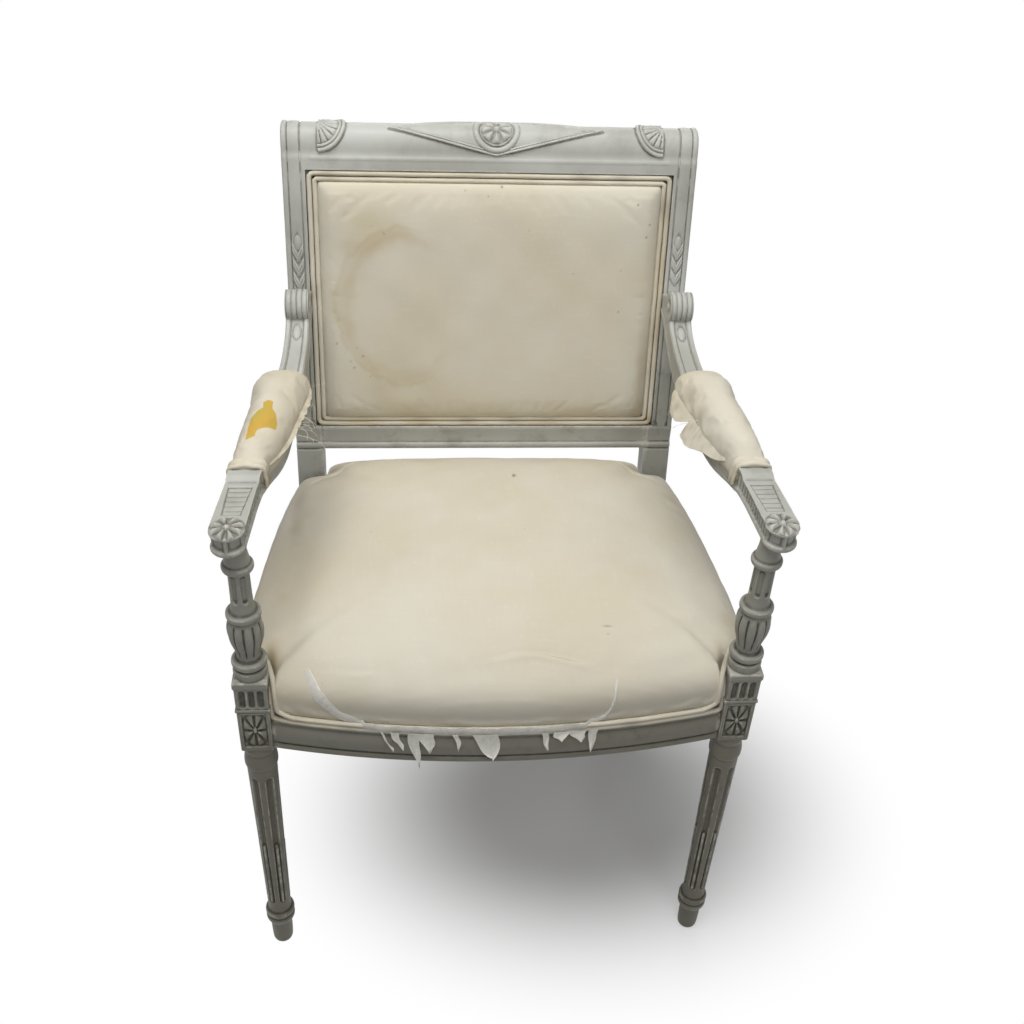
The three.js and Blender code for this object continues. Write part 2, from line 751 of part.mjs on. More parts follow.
const cornerLow = legHeight + (railHeight - cornerBlockHeight) / 2;
const cornerMiddle = cornerLow + cornerBlockHeight / 2;

function cornerPlan(side, front) {
  if (front) {
    const inside = legX - blockHalf - 2 * gap;
    const rear = blockHalf + gap + cornerBlockReach;
    const sideAt = (y) => sideRailFace(y) - railThickness - 2 * gap;
    const faceAt = (x) => frontRailFace(x) + railThickness + 2 * gap;
    return [
      [inside - cornerBlockReach, faceAt(inside - cornerBlockReach)], [inside, faceAt(inside)],
      [inside, blockHalf + gap], [sideAt(blockHalf + gap), blockHalf + gap], [sideAt(rear), rear],
    ].map(([x, y]) => [side * x, y]);
  }
  const postY = postFrontAt(cornerLow) - 2 * gap;
  const near = postY - cornerBlockReach;
  const sideAt = (y) => sideRailFace(y) - railThickness - gap;
  const railY = rearRailY - gap;
  const inner = postInner - 2 * gap;
  return [
    [sideAt(near), near], [sideAt(postY), postY], [inner, postY],
    [inner, railY], [inner - cornerBlockReach, railY],
  ].map(([x, y]) => [side * x, y]);
}

// Screw places on the long face of a corner block, with the way each one points
function cornerScrews(side, front) {
  const plan = cornerPlan(side, front);
  const [a, b] = front ? [plan[0], plan[4]] : [plan[4], plan[0]];
  const start = vec(a[0], a[1], cornerMiddle);
  const end = vec(b[0], b[1], cornerMiddle);
  const ways = [vec(0, front ? -1 : 1, 0), vec(side, 0, 0)];
  return [0.36, 0.64].map((share, i) => {
    const place = start.clone().lerp(end, share).addScaledVector(ways[i], screwHeadRadius * 1.1);
    return { place: place.setZ(cornerMiddle + ((i ? 1 : -1) * cornerBlockHeight) / 5), way: ways[i] };
  });
}

function screwHole({ place, way }) {
  const access = bar(screwHeadRadius + gap, -gap, screwHeadRadius * 4, 8);
  return solid(aimed(screw(screwLength, gap), place, way)).add(solid(aimed(access, place, way)));
}

const screws = [];
for (const [side, label] of [[-1, "left"], [1, "right"]]) {
  for (const front of [true, false]) {
    const end = front ? "front" : "rear";
    cornerScrews(side, front).forEach((spot, i) => {
      screws.push({ ...spot, name: `${label}_${end}_block_screw_${i + 1}`, side, front, toSide: i === 1 });
    });
  }
}

function cornerBlock(side, front) {
  const outline = cornerPlan(side, front).map(([x, y]) => new THREE.Vector2(x, y));
  let block = solid(extruded(outline, cornerBlockHeight).translate(0, 0, cornerLow));
  for (const spot of screws) {
    if (spot.side === side && spot.front === front) block = block.subtract(screwHole(spot));
  }
  return block;
}

function drilled(body, chosen) {
  return screws.filter(chosen).reduce((rest, spot) => rest.subtract(screwHole(spot)), body);
}

for (const [side, label] of [[-1, "left"], [1, "right"]]) {
  for (const front of [true, false]) {
    const name = `${label}_${front ? "front" : "rear"}_corner_block`;
    add(group, name, geometryOf(cornerBlock(side, front)), beech);
  }
  const own = (spot) => spot.side === side && spot.toSide;
  add(group, `${label}_seat_rail`, geometryOf(drilled(sideRail(side), own)), paint);
  add(back, `${label}_back_post`, geometryOf(post(side)), paint);
  add(group, `${label}_arm`, geometryOf(arm(side)), paint);
  const armScrew = add(back, `${label}_arm_screw`, screw(armScrewLength, 0), steel);
  armScrew.position.copy(armScrewPlace(side));
  armScrew.quaternion.setFromUnitVectors(vec(0, 0, -1), vec(0, -1, 0));
}
add(group, "front_seat_rail", geometryOf(drilled(frontRail(), (spot) => spot.front && !spot.toSide)), paint);
add(group, "rear_seat_rail", geometryOf(drilled(rearRail(), (spot) => !spot.front && !spot.toSide)), paint);
add(back, "back_lower_rail", geometryOf(lowerRail()), paint);
add(back, "crest_rail", geometryOf(crestRail()), paint);
for (const { name, place, way } of screws) {
  const piece = add(group, name, screw(screwLength, 0), steel);
  piece.position.copy(place);
  piece.quaternion.setFromUnitVectors(vec(0, 0, -1), way);
}

// Webbing, woven over and under

// One strap along x or y, lifted at even crossings and lowered at odd ones
function strap(start, end, crossings, width, thickness, phase, spread, flat) {
  const along = end.clone().sub(start).normalize();
  const lift = (thickness + webGap) / 2;
  const path = [start, start.clone().addScaledVector(along, flat)];
  crossings.forEach((centre, i) => {
    const rise = (i + phase) % 2 ? -lift : lift;
    for (const shift of [-spread / 2, spread / 2]) {
      path.push(centre.clone().addScaledVector(along, shift).add(vec(0, 0, rise)));
    }
  });
  path.push(end.clone().addScaledVector(along, -flat), end);
  const half = width / 2;
  const thick = thickness / 2;
  const across = along.clone().cross(vec(0, 0, 1));
  const corners = [[-half, -thick], [half, -thick], [half, thick], [-half, thick]];
  const rings = path.map((p) => (
    corners.map(([a, b]) => p.clone().addScaledVector(across, a).add(vec(0, 0, b)))
  ));
  return loft(rings);
}

const webLevel = legHeight - webThickness / 2;
const webEdge = railThickness / 4;
const webFlat = railThickness * 1.25;
const webColumns = [-1.5, -0.5, 0.5, 1.5].map((share) => share * webWidth * 1.5);
const webRows = [0.2, 0.42, 0.64, 0.86].map((share) => share * seatDepth);
webRows.forEach((y, row) => {
  const reach = sideRailFace(y + webWidth / 2) - webEdge;
  const crossings = webColumns.map((x) => vec(x, y, webLevel));
  const ends = [vec(-reach, y, webLevel), vec(reach, y, webLevel)];
  const web = strap(...ends, crossings, webWidth, webThickness, row, webWidth, webFlat);
  add(group, `seat_web_across_${row + 1}`, web, jute);
});
webColumns.forEach((x, column) => {
  const front = frontRailFace(Math.abs(x) + webWidth / 2) + webEdge;
  const rear = rearRailY + railThickness - webEdge;
  const crossings = webRows.map((y) => vec(x, y, webLevel));
  const ends = [vec(x, front, webLevel), vec(x, rear, webLevel)];
  const web = strap(...ends, crossings, webWidth, webThickness, column + 1, webWidth, webFlat);
  add(group, `seat_web_along_${column + 1}`, web, jute);
});

// Seat springs

const springBottom = legHeight + (webThickness + webGap) / 2 + gap;

function springPoint(share) {
  const angle = 2 * Math.PI * springCurls * share;
  const radius = mix(springWaistRadius, springEndRadius, Math.abs(2 * share - 1) ** 1.5);
  const z = mix(springWire / 2, springTop - springBottom - springWire / 2, share);
  return vec(radius * Math.cos(angle), radius * Math.sin(angle), z);
}

function springCoil() {
  const steps = springCurls * 8;
  const path = Array.from({ length: steps + 1 }, (_, i) => springPoint(i / steps));
  const wire = springWire / 2;
  const turns = [0, 1, 2, 3, 4].map((i) => (i * 2 * Math.PI) / 5);
  const section = turns.map((turn) => [wire * Math.cos(turn), wire * Math.sin(turn)]);
  return sweep(path, section, (i) => vec(path[i].x, path[i].y, 0).normalize());
}

function springGap() {
  const steps = springCurls * 48;
  const points = Array.from({ length: steps + 1 }, (_, i) => springPoint(i / steps));
  let least = Infinity;
  for (let i = 0; i < points.length; i += 1) {
    for (let j = i + 24; j < points.length; j += 1) {
      least = Math.min(least, points[i].distanceTo(points[j]));
    }
  }
  return least - springWire;
}

console.log(`least gap between the curls of a seat spring: ${springGap().toFixed(2)} mm`);
const seatMiddle = (frontRailFace(0) + rearRailY + railThickness) / 2;
const springPlaceShares = [[-0.42, 0.24], [0.42, 0.24], [-0.38, 0.72], [0.38, 0.72]];
const springSpots = [[0, seatMiddle], ...springPlaceShares.map(([a, b]) => [a * legX, b * seatDepth])];
springSpots.forEach(([x, y], i) => {
  add(group, `seat_spring_${i + 1}`, springCoil(), steel, x, y, springBottom);
});

// Outline of the seat stuffing, notched round the leg blocks and the posts

const layers = 2 * gap + coverThickness;

function seatOutline() {
  const inset = tackingRebateDepth;
  const notch = legX - blockHalf - ledgeProjection - layers;
  const notchY = blockHalf + ledgeProjection + layers;
  const rearNotchY = postFrontAt(railTop) - layers;
  const rearNotchX = postInner - layers;
  const rearY = rearRailY + railThickness - inset;
  const half = [];
  for (let i = 0; i < frontRailSteps / 2; i += 1) {
    const x = (2 * i * (legX - blockHalf)) / frontRailSteps;
    half.push({ x, y: frontRailFace(x) + inset, part: "front" });
  }
  half.push({ x: notch, y: frontRailFace(notch) + inset, part: "front" });
  half.push({ x: notch, y: notchY, part: "notch" });
  for (const share of [0, 0.12, 0.28, 0.44, 0.6, 0.76, 0.9, 1]) {
    const y = mix(notchY, rearNotchY, share);
    half.push({ x: sideRailFace(y) - inset, y, part: "side" });
  }
  half.push({ x: rearNotchX, y: rearNotchY, part: "notch" });
  for (const share of [1, 0.75, 0.4, 0]) half.push({ x: share * rearNotchX, y: rearY, part: "rear" });
  const other = half.slice(1, -1).reverse().map((p) => ({ ...p, x: -p.x }));
  return [...half, ...other];
}

// The outline moved out along its own normals
function outset(outline, amount) {
  return outline.map((p, i) => {
    const before = outline[(i + outline.length - 1) % outline.length];
    const after = outline[(i + 1) % outline.length];
    const first = new THREE.Vector2(p.y - before.y, before.x - p.x).normalize();
    const second = new THREE.Vector2(after.y - p.y, p.x - after.x).normalize();
    const normal = first.add(second);
    normal.multiplyScalar(2 / normal.lengthSq());
    return { ...p, x: p.x + normal.x * amount, y: p.y + normal.y * amount };
  });
}

// The sides swell sideways and the front swells forwards
function swollen(p, share) {
  const along = THREE.MathUtils.clamp((p.y - blockHalf) / (seatDepth - blockHalf), 0, 1);
  const sideways = p.part === "side" ? seatSideBulge * (1 - 0.55 * Math.abs(2 * along - 1) ** 3) : 0;
  const forwards = p.part === "front" ? seatFrontBulge : 0;
  return { ...p, x: p.x + Math.sign(p.x) * sideways * share, y: p.y - forwards * share };
}

function seatShoulderAt(p) {
  const rear = Math.max(0, (p.y - 0.45 * seatDepth) / (0.6 * seatDepth));
  const middle = 1 - 0.8 * Math.min(1, (p.x / postOuter) ** 4);
  const front = p.part === "front" ? (seatFrontBulge / 2) * middle : 0;
  return seatShoulder + front + seatRearLift * Math.min(1, rear) * middle;
}

// An oval that rounds off the notched corners towards the middle of the seat
const seatOvalShares = { across: 1.45, along: 3.4 };
const seatOvalPower = 3.4;

function seatOvalRadius(widest, angle) {
  const across = seatOvalShares.across * Math.abs(Math.cos(angle)) ** seatOvalPower;
  const along = seatOvalShares.along * Math.abs(Math.sin(angle)) ** seatOvalPower;
  return widest / (across + along) ** (1 / seatOvalPower);
}

// Rings of the seat as [inward share, bulge share, shoulder share, crown share, notch fill share]
const seatRingShares = [
  [0, 0, 0, 0, 0], [0, 0, 0.15, 0, 0], [0, 0.75, 0.4, 0, 0], [0, 1, 0.72, 0, 0], [0.02, 0.9, 0.92, 0, 0.06],
  [0.08, 0.5, 1, 0.12, 0.5], [0.28, 0, 1, 0.55, 1], [0.58, 0, 1, 0.88, 1], [0.86, 0, 1, 1, 1],
];

// The whole seat form, grown outwards and with its lowest ring let down to a given level
function seatForm(grow, base) {
  const start = railTop + canvasThickness + gap;
  const outline = seatOutline();
  const widest = outline.reduce((most, p) => Math.max(most, Math.hypot(p.x, p.y - seatMiddle)), 0);
  return seatRingShares.map(([inward, bulge, shoulder, crown, fill], level) => (
    outset(outline, grow).map((p) => swollen(p, bulge)).map((p) => {
      const reach = Math.hypot(p.x, p.y - seatMiddle);
      const angle = Math.atan2(p.y - seatMiddle, p.x);
      const rounded = Math.min(reach, seatOvalRadius(widest, angle));
      const radius = mix(reach, rounded, fill) * (1 - inward);
      const edge = mix(start, seatShoulderAt(p), shoulder);
      const z = level ? mix(edge, seatCrown, crown) + (shoulder > 0.9 ? grow : 0) : base;
      return vec(radius * Math.cos(angle), seatMiddle + radius * Math.sin(angle), z);
    })
  ));
}

// Spring canvas: a flat border on the rails, domed over the springs, as [inward share, rise share]
const canvasRingShares = [[0, 0], [0.1, 0.06], [0.18, 0.75], [0.28, 1], [0.7, 1]];

function canvasForm(grow) {
  const outline = outset(seatOutline(), grow - gap);
  const high = springTop + gap + canvasThickness - railTop;
  const ring = (inward, z) => outline.map((p) => vec(p.x * (1 - inward), mix(p.y, seatMiddle, inward), z));
  const dome = canvasRingShares.map(([inward, rise]) => (
    ring(inward, railTop + canvasThickness + rise * (high - canvasThickness) + grow)
  ));
  return [ring(0, railTop), ...dome];
}

function canvas() {
  const outline = seatOutline();
  const under = (inward, z) => outline.map((p) => vec(p.x * (1 - inward), mix(p.y, seatMiddle, inward), z));
  const high = springTop + gap - railTop;
  const wall = canvasThickness / legX;
  const hollow = canvasRingShares.slice(1).map(([inward, rise]) => (
    under(inward + 2 * wall, railTop + canvasThickness / 2 + rise * (high - canvasThickness / 2))
  ));
  const mouth = under(canvasRingShares[1][0] + 2 * wall, railTop - overrun);
  return solid(loft(canvasForm(0))).subtract(solid(loft([mouth, ...hollow])));
}

add(group, "spring_canvas", geometryOf(canvas()), jute);
const stuffing = solid(loft(seatForm(0, railTop + canvasThickness + gap)));
add(group, "seat_stuffing", geometryOf(stuffing.subtract(solid(loft(canvasForm(gap))))), hair);

// The cover laps down over the rebates only, so its skirt is cut where it would cross the rail tops
const coverFoot = railTop - tackingRebateHeight + gap;

function railTops() {
  const inset = tackingRebateDepth - gap;
  const notch = legX - blockHalf - ledgeProjection - layers;
  const wide = sideRailFront + overrun;
  const notchY = blockHalf + ledgeProjection + layers;
  const rearY = postFrontAt(coverFoot) - gap;
  const half = Array.from({ length: frontRailSteps / 2 }, (_, i) => {
    const x = (2 * i * (legX - blockHalf)) / frontRailSteps;
    return [x, frontRailFace(x) + inset];
  });
  half.push(
    [notch, frontRailFace(notch) + inset], [wide, frontRailFace(notch) + inset], [wide, notchY],
    [sideRailFace(notchY) - inset, notchY], [sideRailFace(rearY) - inset, rearY], [wide, rearY],
    [wide, rearRailY + overrun], [postInner, rearRailY + overrun],
    [postInner, rearRailY + railThickness - inset], [0, rearRailY + railThickness - inset],
  );
  const other = half.slice(1, -1).reverse().map(([x, y]) => [-x, y]);
  const outline = [...half, ...other].map(([x, y]) => new THREE.Vector2(x, y));
  const depth = tackingRebateHeight + 2 * overrun;
  return solid(extruded(outline, depth).translate(0, 0, railTop + gap - depth));
}

const seatCover = solid(loft(seatForm(gap + coverThickness, coverFoot)));
const coverHollow = solid(loft(seatForm(gap, coverFoot - overrun)));
add(group, "seat_cover", geometryOf(seatCover.subtract(coverHollow).subtract(railTops())), calico);

// Double welts, two cords side by side, as shares of one cord's radius

const doubleWeltShares = [
  [-0.9, -1.6], [0, -2], [0.9, -1.6], [0.95, -0.6], [0.5, 0], [0.95, 0.6], [0.9, 1.6], [0, 2], [-0.9, 1.6],
];

function welt(path, upAt) {
  const radius = weltThickness / 2;
  return sweep(path, doubleWeltShares.map(([a, b]) => [a * radius, b * radius]), upAt);
}

const weltInset = tackingRebateDepth - layers - weltThickness / 2;
const weltZ = coverFoot + weltThickness + gap;
const upright = () => vec(0, 0, 1);
const frontWeltPath = Array.from({ length: frontRailSteps + 1 }, (_, i) => {
  const reach = legX - blockHalf - ledgeProjection - gap;
  const x = mix(reach, -reach, i / frontRailSteps);
  return vec(x, frontRailFace(x) + weltInset, weltZ);
});
add(group, "front_seat_welt", welt(frontWeltPath, upright), calico);
for (const [side, label] of [[-1, "left"], [1, "right"]]) {
  const ends = [blockHalf + ledgeProjection + gap, postFrontAt(coverFoot) - gap];
  const path = ends.map((y) => vec(side * (sideRailFace(y) - weltInset), y, weltZ));
  add(group, `${label}_seat_welt`, welt(side < 0 ? path.reverse() : path, upright), calico);
}
const rearWeltPath = [1, -1].map((side) => (
  vec(-side * (postInner - gap), rearRailY + railThickness - weltInset, weltZ)
));
add(group, "rear_seat_welt", welt(rearWeltPath.reverse(), upright), calico);

// Back panel: webbing, stuffing, inner and outer covers and the double welt

const panelLow = lowerRailTop - panelRebateWidth;
const panelHigh = crestStart + panelRebateWidth;
const backWebLevel = panelRebateDepth - gap - backWebThickness / 2;
const stuffingBack = backWebLevel - backWebThickness - webGap / 2 - gap;
const flangeFront = stuffingBack - coverThickness;
const panelHalfAt = (h) => postOuterAt(h) - postWidth + panelRebateWidth;

// A rounded panel outline, set in from the rebate's edge, at one depth
function panelRing(inset, depth) {
  const radius = Math.max(panelCorner - inset, gap);
  const low = panelLow + inset;
  const high = panelHigh - inset;
  const corners = [[1, low], [1, high], [-1, high], [-1, low]];
  const ring = [];
  corners.forEach(([side, h], index) => {
    const x = side * (panelHalfAt(h) - inset - radius);
    const z = h + (h === low ? radius : -radius);
    for (const turn of [0, 1, 2, 3]) {
      const angle = ((index - 1) * Math.PI) / 2 + (turn * Math.PI) / 6;
      ring.push(vec(x + radius * Math.cos(angle), depth, z + radius * Math.sin(angle)));
    }
    const [nextSide, nextH] = corners[(index + 1) % 4];
    const last = ring[ring.length - 1];
    const goal = vec(nextSide * (panelHalfAt(nextH) - inset), depth, nextH);
    for (const share of [0.25, 0.5, 0.75]) {
      const height = mix(last.z, goal.z, share);
      const onSide = index % 2 === 0;
      const across = onSide ? nextSide * (panelHalfAt(height) - inset) : mix(last.x, goal.x, share);
      ring.push(vec(across, depth, onSide ? height : last.z));
    }
  });
  return ring;
}

// Rings of the back stuffing as [inset share of the panel's half width, rise share]
const backRingShares = [[0, 0], [0.008, 0.4], [0.035, 0.72], [0.12, 0.93], [0.32, 1]];

const stuffingEdge = (grow) => backWeltWidth + 2 * gap + coverThickness - grow;

function backForm(grow, rearDepth) {
  return backRingShares.map(([inset, rise], level) => {
    const depth = level ? mix(stuffingBack, -backCrown, rise) - grow : rearDepth;
    return panelRing(stuffingEdge(grow) + inset * crestHalf, depth);
  });
}

function backCover() {
  const flange = [panelRing(gap, stuffingBack), panelRing(gap, flangeFront)];
  const outer = loft([...flange, ...backForm(gap + coverThickness, flangeFront)]);
  const mouth = panelRing(stuffingEdge(gap), stuffingBack + overrun);
  const hollow = loft([mouth, ...backForm(gap, stuffingBack)]);
  return solid(outer).subtract(solid(hollow));
}

add(back, "back_stuffing", loft(backForm(0, stuffingBack)), hair);
add(back, "back_inner_cover", geometryOf(backCover()), calico);
const weltDepth = flangeFront - gap - weltThickness / 2;
const backWeltRings = doubleWeltShares.map(([a, b]) => (
  panelRing(weltThickness + 2 * gap + (b * weltThickness) / 2, weltDepth + (a * weltThickness) / 2)
));
add(back, "back_welt", loft(backWeltRings, true), calico);
const outerOutline = panelRing(2 * gap, 0).map((p) => new THREE.Vector2(p.x, p.z));
const outerBasis = [vec(1, 0, 0), vec(0, 0, 1), vec(0, -1, 0)];
const outerCover = extruded(outerOutline, coverThickness, outerBasis);
add(back, "back_outer_cover", outerCover, calico, 0, postDepth - rearRebateDepth + gap + coverThickness, 0);

const backWebColumns = [-0.3, 0.3].map((share) => share * crestHalf);
const backWebRows = [0.33, 0.67].map((share) => mix(panelLow, panelHigh, share));
const backWebFlat = 2 * panelRebateWidth;
const flatBack = (strapGeometry) => strapGeometry.rotateX(Math.PI / 2).translate(0, backWebLevel, 0);
backWebRows.forEach((h, row) => {
  const reach = panelHalfAt(h + backWebWidth / 2) - 3 * gap;
  const crossings = backWebColumns.map((x) => vec(x, h, 0));
  const ends = [vec(-reach, h, 0), vec(reach, h, 0)];
  const web = strap(...ends, crossings, backWebWidth, backWebThickness, row, backWebWidth, backWebFlat);
  add(back, `back_web_across_${row + 1}`, flatBack(web), jute);
});
backWebColumns.forEach((x, column) => {
  const crossings = backWebRows.map((h) => vec(x, h, 0));
  const ends = [vec(x, panelLow + 3 * gap, 0), vec(x, panelHigh - 3 * gap, 0)];
  const phase = column + 1;
  const web = strap(...ends, crossings, backWebWidth, backWebThickness, phase, backWebWidth, backWebFlat);
  add(back, `back_web_along_${column + 1}`, flatBack(web), jute);
});

// Arm pads

// Rings of a pad as [share of its length, half width share, crown share]
const padRingShares = [
  [0, 0.62, 0.45], [0.05, 0.7, 0.8], [0.22, 0.92, 1], [0.5, 1, 1],
  [0.74, 1, 0.95], [0.9, 0.84, 0.72], [1, 0.66, 0.32],
];
const padSectionShares = [
  [1, 0], [1.05, 0.35], [0.88, 0.76], [0.48, 0.96], [0, 1],
  [-0.48, 0.96], [-0.88, 0.76], [-1.05, 0.35], [-1, 0],
];

function padForm(side, grow, drop) {
  const seatZ = armTop - padSeatSink + gap;
  const inset = layers - grow;
  return padRingShares.map(([share, width, crown]) => {
    const y = mix(armBlockLength + inset, padRear - inset, share);
    const half = (width * padWidth) / 2 + grow;
    return padSectionShares.map(([a, b]) => {
      const z = b ? seatZ + b * (crown * padCrown + grow) : seatZ - drop;
      return vec(side * (armMiddle(y) + a * half), y, z);
    });
  });
}

function padCover(side) {
  const wood = extruded(armPlan(side, gap), 4 * padSkirt);
  const band = solid(wood.translate(0, 0, armTop - padSeatSink + gap / 2 - 4 * padSkirt));
  const outer = solid(loft(padForm(side, gap + coverThickness, padSkirt)));
  return outer.subtract(solid(loft(padForm(side, gap, padSkirt + overrun)))).subtract(band);
}

for (const [side, label] of [[-1, "left"], [1, "right"]]) {
  add(group, `${label}_arm_stuffing`, loft(padForm(side, 0, 0)), hair);
  add(group, `${label}_arm_cover`, geometryOf(padCover(side)), calico);
}

// The origin lies under the middle of the chair's box, on the floor
const extent = new THREE.Box3().setFromObject(group, true);
group.position.y = -(extent.min.y + extent.max.y) / 2;

export default group;
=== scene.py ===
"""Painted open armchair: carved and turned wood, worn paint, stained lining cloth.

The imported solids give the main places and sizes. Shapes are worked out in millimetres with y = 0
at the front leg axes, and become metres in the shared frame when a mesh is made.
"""
import math

import bpy
import numpy as np
from mathutils import Matrix, Vector
from mathutils.bvhtree import BVHTree


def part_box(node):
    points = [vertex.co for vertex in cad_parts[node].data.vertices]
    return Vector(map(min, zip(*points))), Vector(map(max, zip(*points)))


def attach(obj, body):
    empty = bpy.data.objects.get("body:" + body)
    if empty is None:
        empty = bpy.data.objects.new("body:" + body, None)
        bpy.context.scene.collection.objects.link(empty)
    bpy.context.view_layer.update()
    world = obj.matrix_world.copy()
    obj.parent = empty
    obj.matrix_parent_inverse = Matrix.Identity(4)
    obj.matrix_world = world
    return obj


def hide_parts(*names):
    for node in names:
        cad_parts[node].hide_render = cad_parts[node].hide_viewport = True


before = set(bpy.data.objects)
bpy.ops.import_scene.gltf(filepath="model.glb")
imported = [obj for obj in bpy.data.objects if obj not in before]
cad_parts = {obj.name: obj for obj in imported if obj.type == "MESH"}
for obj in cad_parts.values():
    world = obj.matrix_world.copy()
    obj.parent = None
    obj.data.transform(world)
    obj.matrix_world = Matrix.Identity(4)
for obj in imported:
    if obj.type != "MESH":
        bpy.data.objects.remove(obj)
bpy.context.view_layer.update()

bl_info = {
    "name": "Painted Open Armchair",
    "version": (1, 0, 0),
    "blender": (4, 5, 0),
    "location": "View3D > Sidebar > Armchair",
    "description": "Makes the carved wood, the upholstery and the stage of a painted open armchair",
    "category": "Add Mesh",
}

MILLIMETRE = 0.001
LEG_AXIS_Y = sum(corner.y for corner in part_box("left_front_leg")) / 2


def corners(node):
    """Lowest and highest corner of a node in millimetres, with y = 0 at the front leg axes."""
    return [np.array([c.x, c.y - LEG_AXIS_Y, c.z]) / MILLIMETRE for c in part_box(node)]


# Sizes in millimetres that the solids give
LEG_LOW, LEG_HIGH = corners("right_front_leg")
LEG_X = (LEG_LOW[0] + LEG_HIGH[0]) / 2
LEG_RADIUS = (LEG_HIGH[0] - LEG_LOW[0]) / 2
BLOCK_TOP = LEG_HIGH[2]
RAIL_LOW, RAIL_HIGH = corners("front_seat_rail")
RAIL_FOOT = RAIL_LOW[2]
RAIL_HEIGHT = RAIL_HIGH[2] - RAIL_LOW[2]
COVER_TOP = corners("seat_cover")[1][2]
SIDE_RAIL_OUTER = corners("right_seat_rail")[1][0]
REAR_RAIL_BACK = corners("rear_seat_rail")[1][1]

# Sizes in millimetres of parts of a piece
GAP = 0.3
LEG_HEIGHT = RAIL_FOOT
BLOCK_HALF = 17.25
LEDGE = 1.2
ROSETTE_TOP = LEG_HEIGHT + 62
FLUTED_FOOT = ROSETTE_TOP + 4
FLUTED_TOP = FLUTED_FOOT + 29
ARM_UNDERSIDE = 650
ARM_TOP = 677
ARM_BLOCK_END = 84
PAD_END = 252.1
SEAT_DEPTH = 346
RAKE_START = LEG_HEIGHT + 32
RAKE = math.radians(9.1)
POST_OUTER = 239.5
POST_WIDTH = 33.5
POST_DEPTH = 32
CREST_HALF = 238
CREST_START = 448
CREST_HEIGHT = 57
CREST_DEPTH = 42
LOWER_RAIL_START = 106
LOWER_RAIL_HEIGHT = 39
REBATE_WIDTH = 7.5
REBATE_DEPTH = 11
REAR_REBATE = 5
RAIL_THICKNESS = 28
RAIL_REBATE = 12
FRONT_BOW = 27
FRONT_SETBACK = 3.5
TACKING = 9
RAIL_TOP = LEG_HEIGHT + RAIL_HEIGHT
REBATE_FLOOR = RAIL_TOP - RAIL_REBATE
FRONT_HALF = LEG_X - BLOCK_HALF
FRONT_Y = -(BLOCK_HALF - FRONT_SETBACK)
SEAT_MIDDLE = (FRONT_Y - FRONT_BOW + REAR_RAIL_BACK) / 2
POST_INNER = POST_OUTER - POST_WIDTH
LOWER_RAIL_TOP = LOWER_RAIL_START + LOWER_RAIL_HEIGHT
PANEL_LOW, PANEL_HIGH = LOWER_RAIL_TOP - REBATE_WIDTH, CREST_START + REBATE_WIDTH
REAR_FLOOR = POST_DEPTH - REAR_REBATE
STILE_MIDDLE, FIELD_START, FIELD_END = 13.9, 7.6, 20.2
STILE_FOOT = LOWER_RAIL_START - 4.5
BLOCK_FLAT, PAD_FLAT = ARM_TOP - 4.6, ARM_TOP - 9
SIDES = ((-1, "left"), (1, "right"))
MIRROR = np.array([-1, 1, 1])


# Small tools for curves and meshes

def clamp(x, low=0.0, high=1.0):
    return np.minimum(np.maximum(x, low), high)


def smooth_step(x, low, high):
    share = clamp((x - low) / (high - low))
    return share * share * (3 - 2 * share)


def mix(a, b, share):
    return a + (b - a) * share


def dome(x, half):
    """1 in the middle, falling round to 0 at the half width."""
    return np.sqrt(clamp(1 - (x / half) ** 2))


def bell(x, half, power=2):
    """1 in the middle, falling softly to 0 on both sides."""
    return np.exp(-(x / half) ** power)


def points_at(x, y, z):
    """Points from their three coordinates, any of which may be one number."""
    return np.stack(np.broadcast_arrays(x, y, z), -1)


def length_along(line):
    """How far along the line each of its points lies."""
    return np.concatenate([[0], np.cumsum(np.linalg.norm(np.diff(line, axis=0), axis=1))])


def rounded(points, rounds=2):
    """Cuts the corners of an open line of points, keeping its ends."""
    line = np.asarray(points, float)
    for _ in range(rounds):
        near = 0.75 * line[:-1] + 0.25 * line[1:]
        far = 0.25 * line[:-1] + 0.75 * line[1:]
        middle = np.stack([near, far], 1).reshape(-1, line.shape[1])
        line = np.vstack([line[:1], middle[1:-1], line[-1:]])
    return line


def evened(line, step):
    """The same line with points about one step apart."""
    line = np.asarray(line, float)
    run = length_along(line)
    count = max(2, int(round(run[-1] / step)) + 1)
    at = np.linspace(0, run[-1], count)
    return np.stack([np.interp(at, run, line[:, k]) for k in range(line.shape[1])], 1)


def follow(table, x, column=1, rounds=2):
    """Value of a column of a table at x, on a rounded line through the table's rows."""
    line = rounded(np.asarray(table, float)[:, [0, column]], rounds)
    return np.interp(x, line[:, 0], line[:, 1])


def columns_of(table, count):
    """The columns of a rounded table at so many even places down its rows."""
    table = rounded(table, 2)
    run = np.linspace(0, len(table) - 1, count)
    return [np.interp(run, np.arange(len(table)), column) for column in table.T]


def noise(points, size, seed):
    """Smooth repeatable noise of about -1 to 1 with waves about as long as size."""
    rng = np.random.default_rng(seed)
    total = np.zeros(len(points))
    for _ in range(7):
        way = rng.normal(size=3)
        way *= 2 * math.pi / (size * np.linalg.norm(way)) * rng.uniform(0.6, 1.5)
        total += np.sin(points @ way + rng.uniform(0, 2 * math.pi))
    return total / 3.5


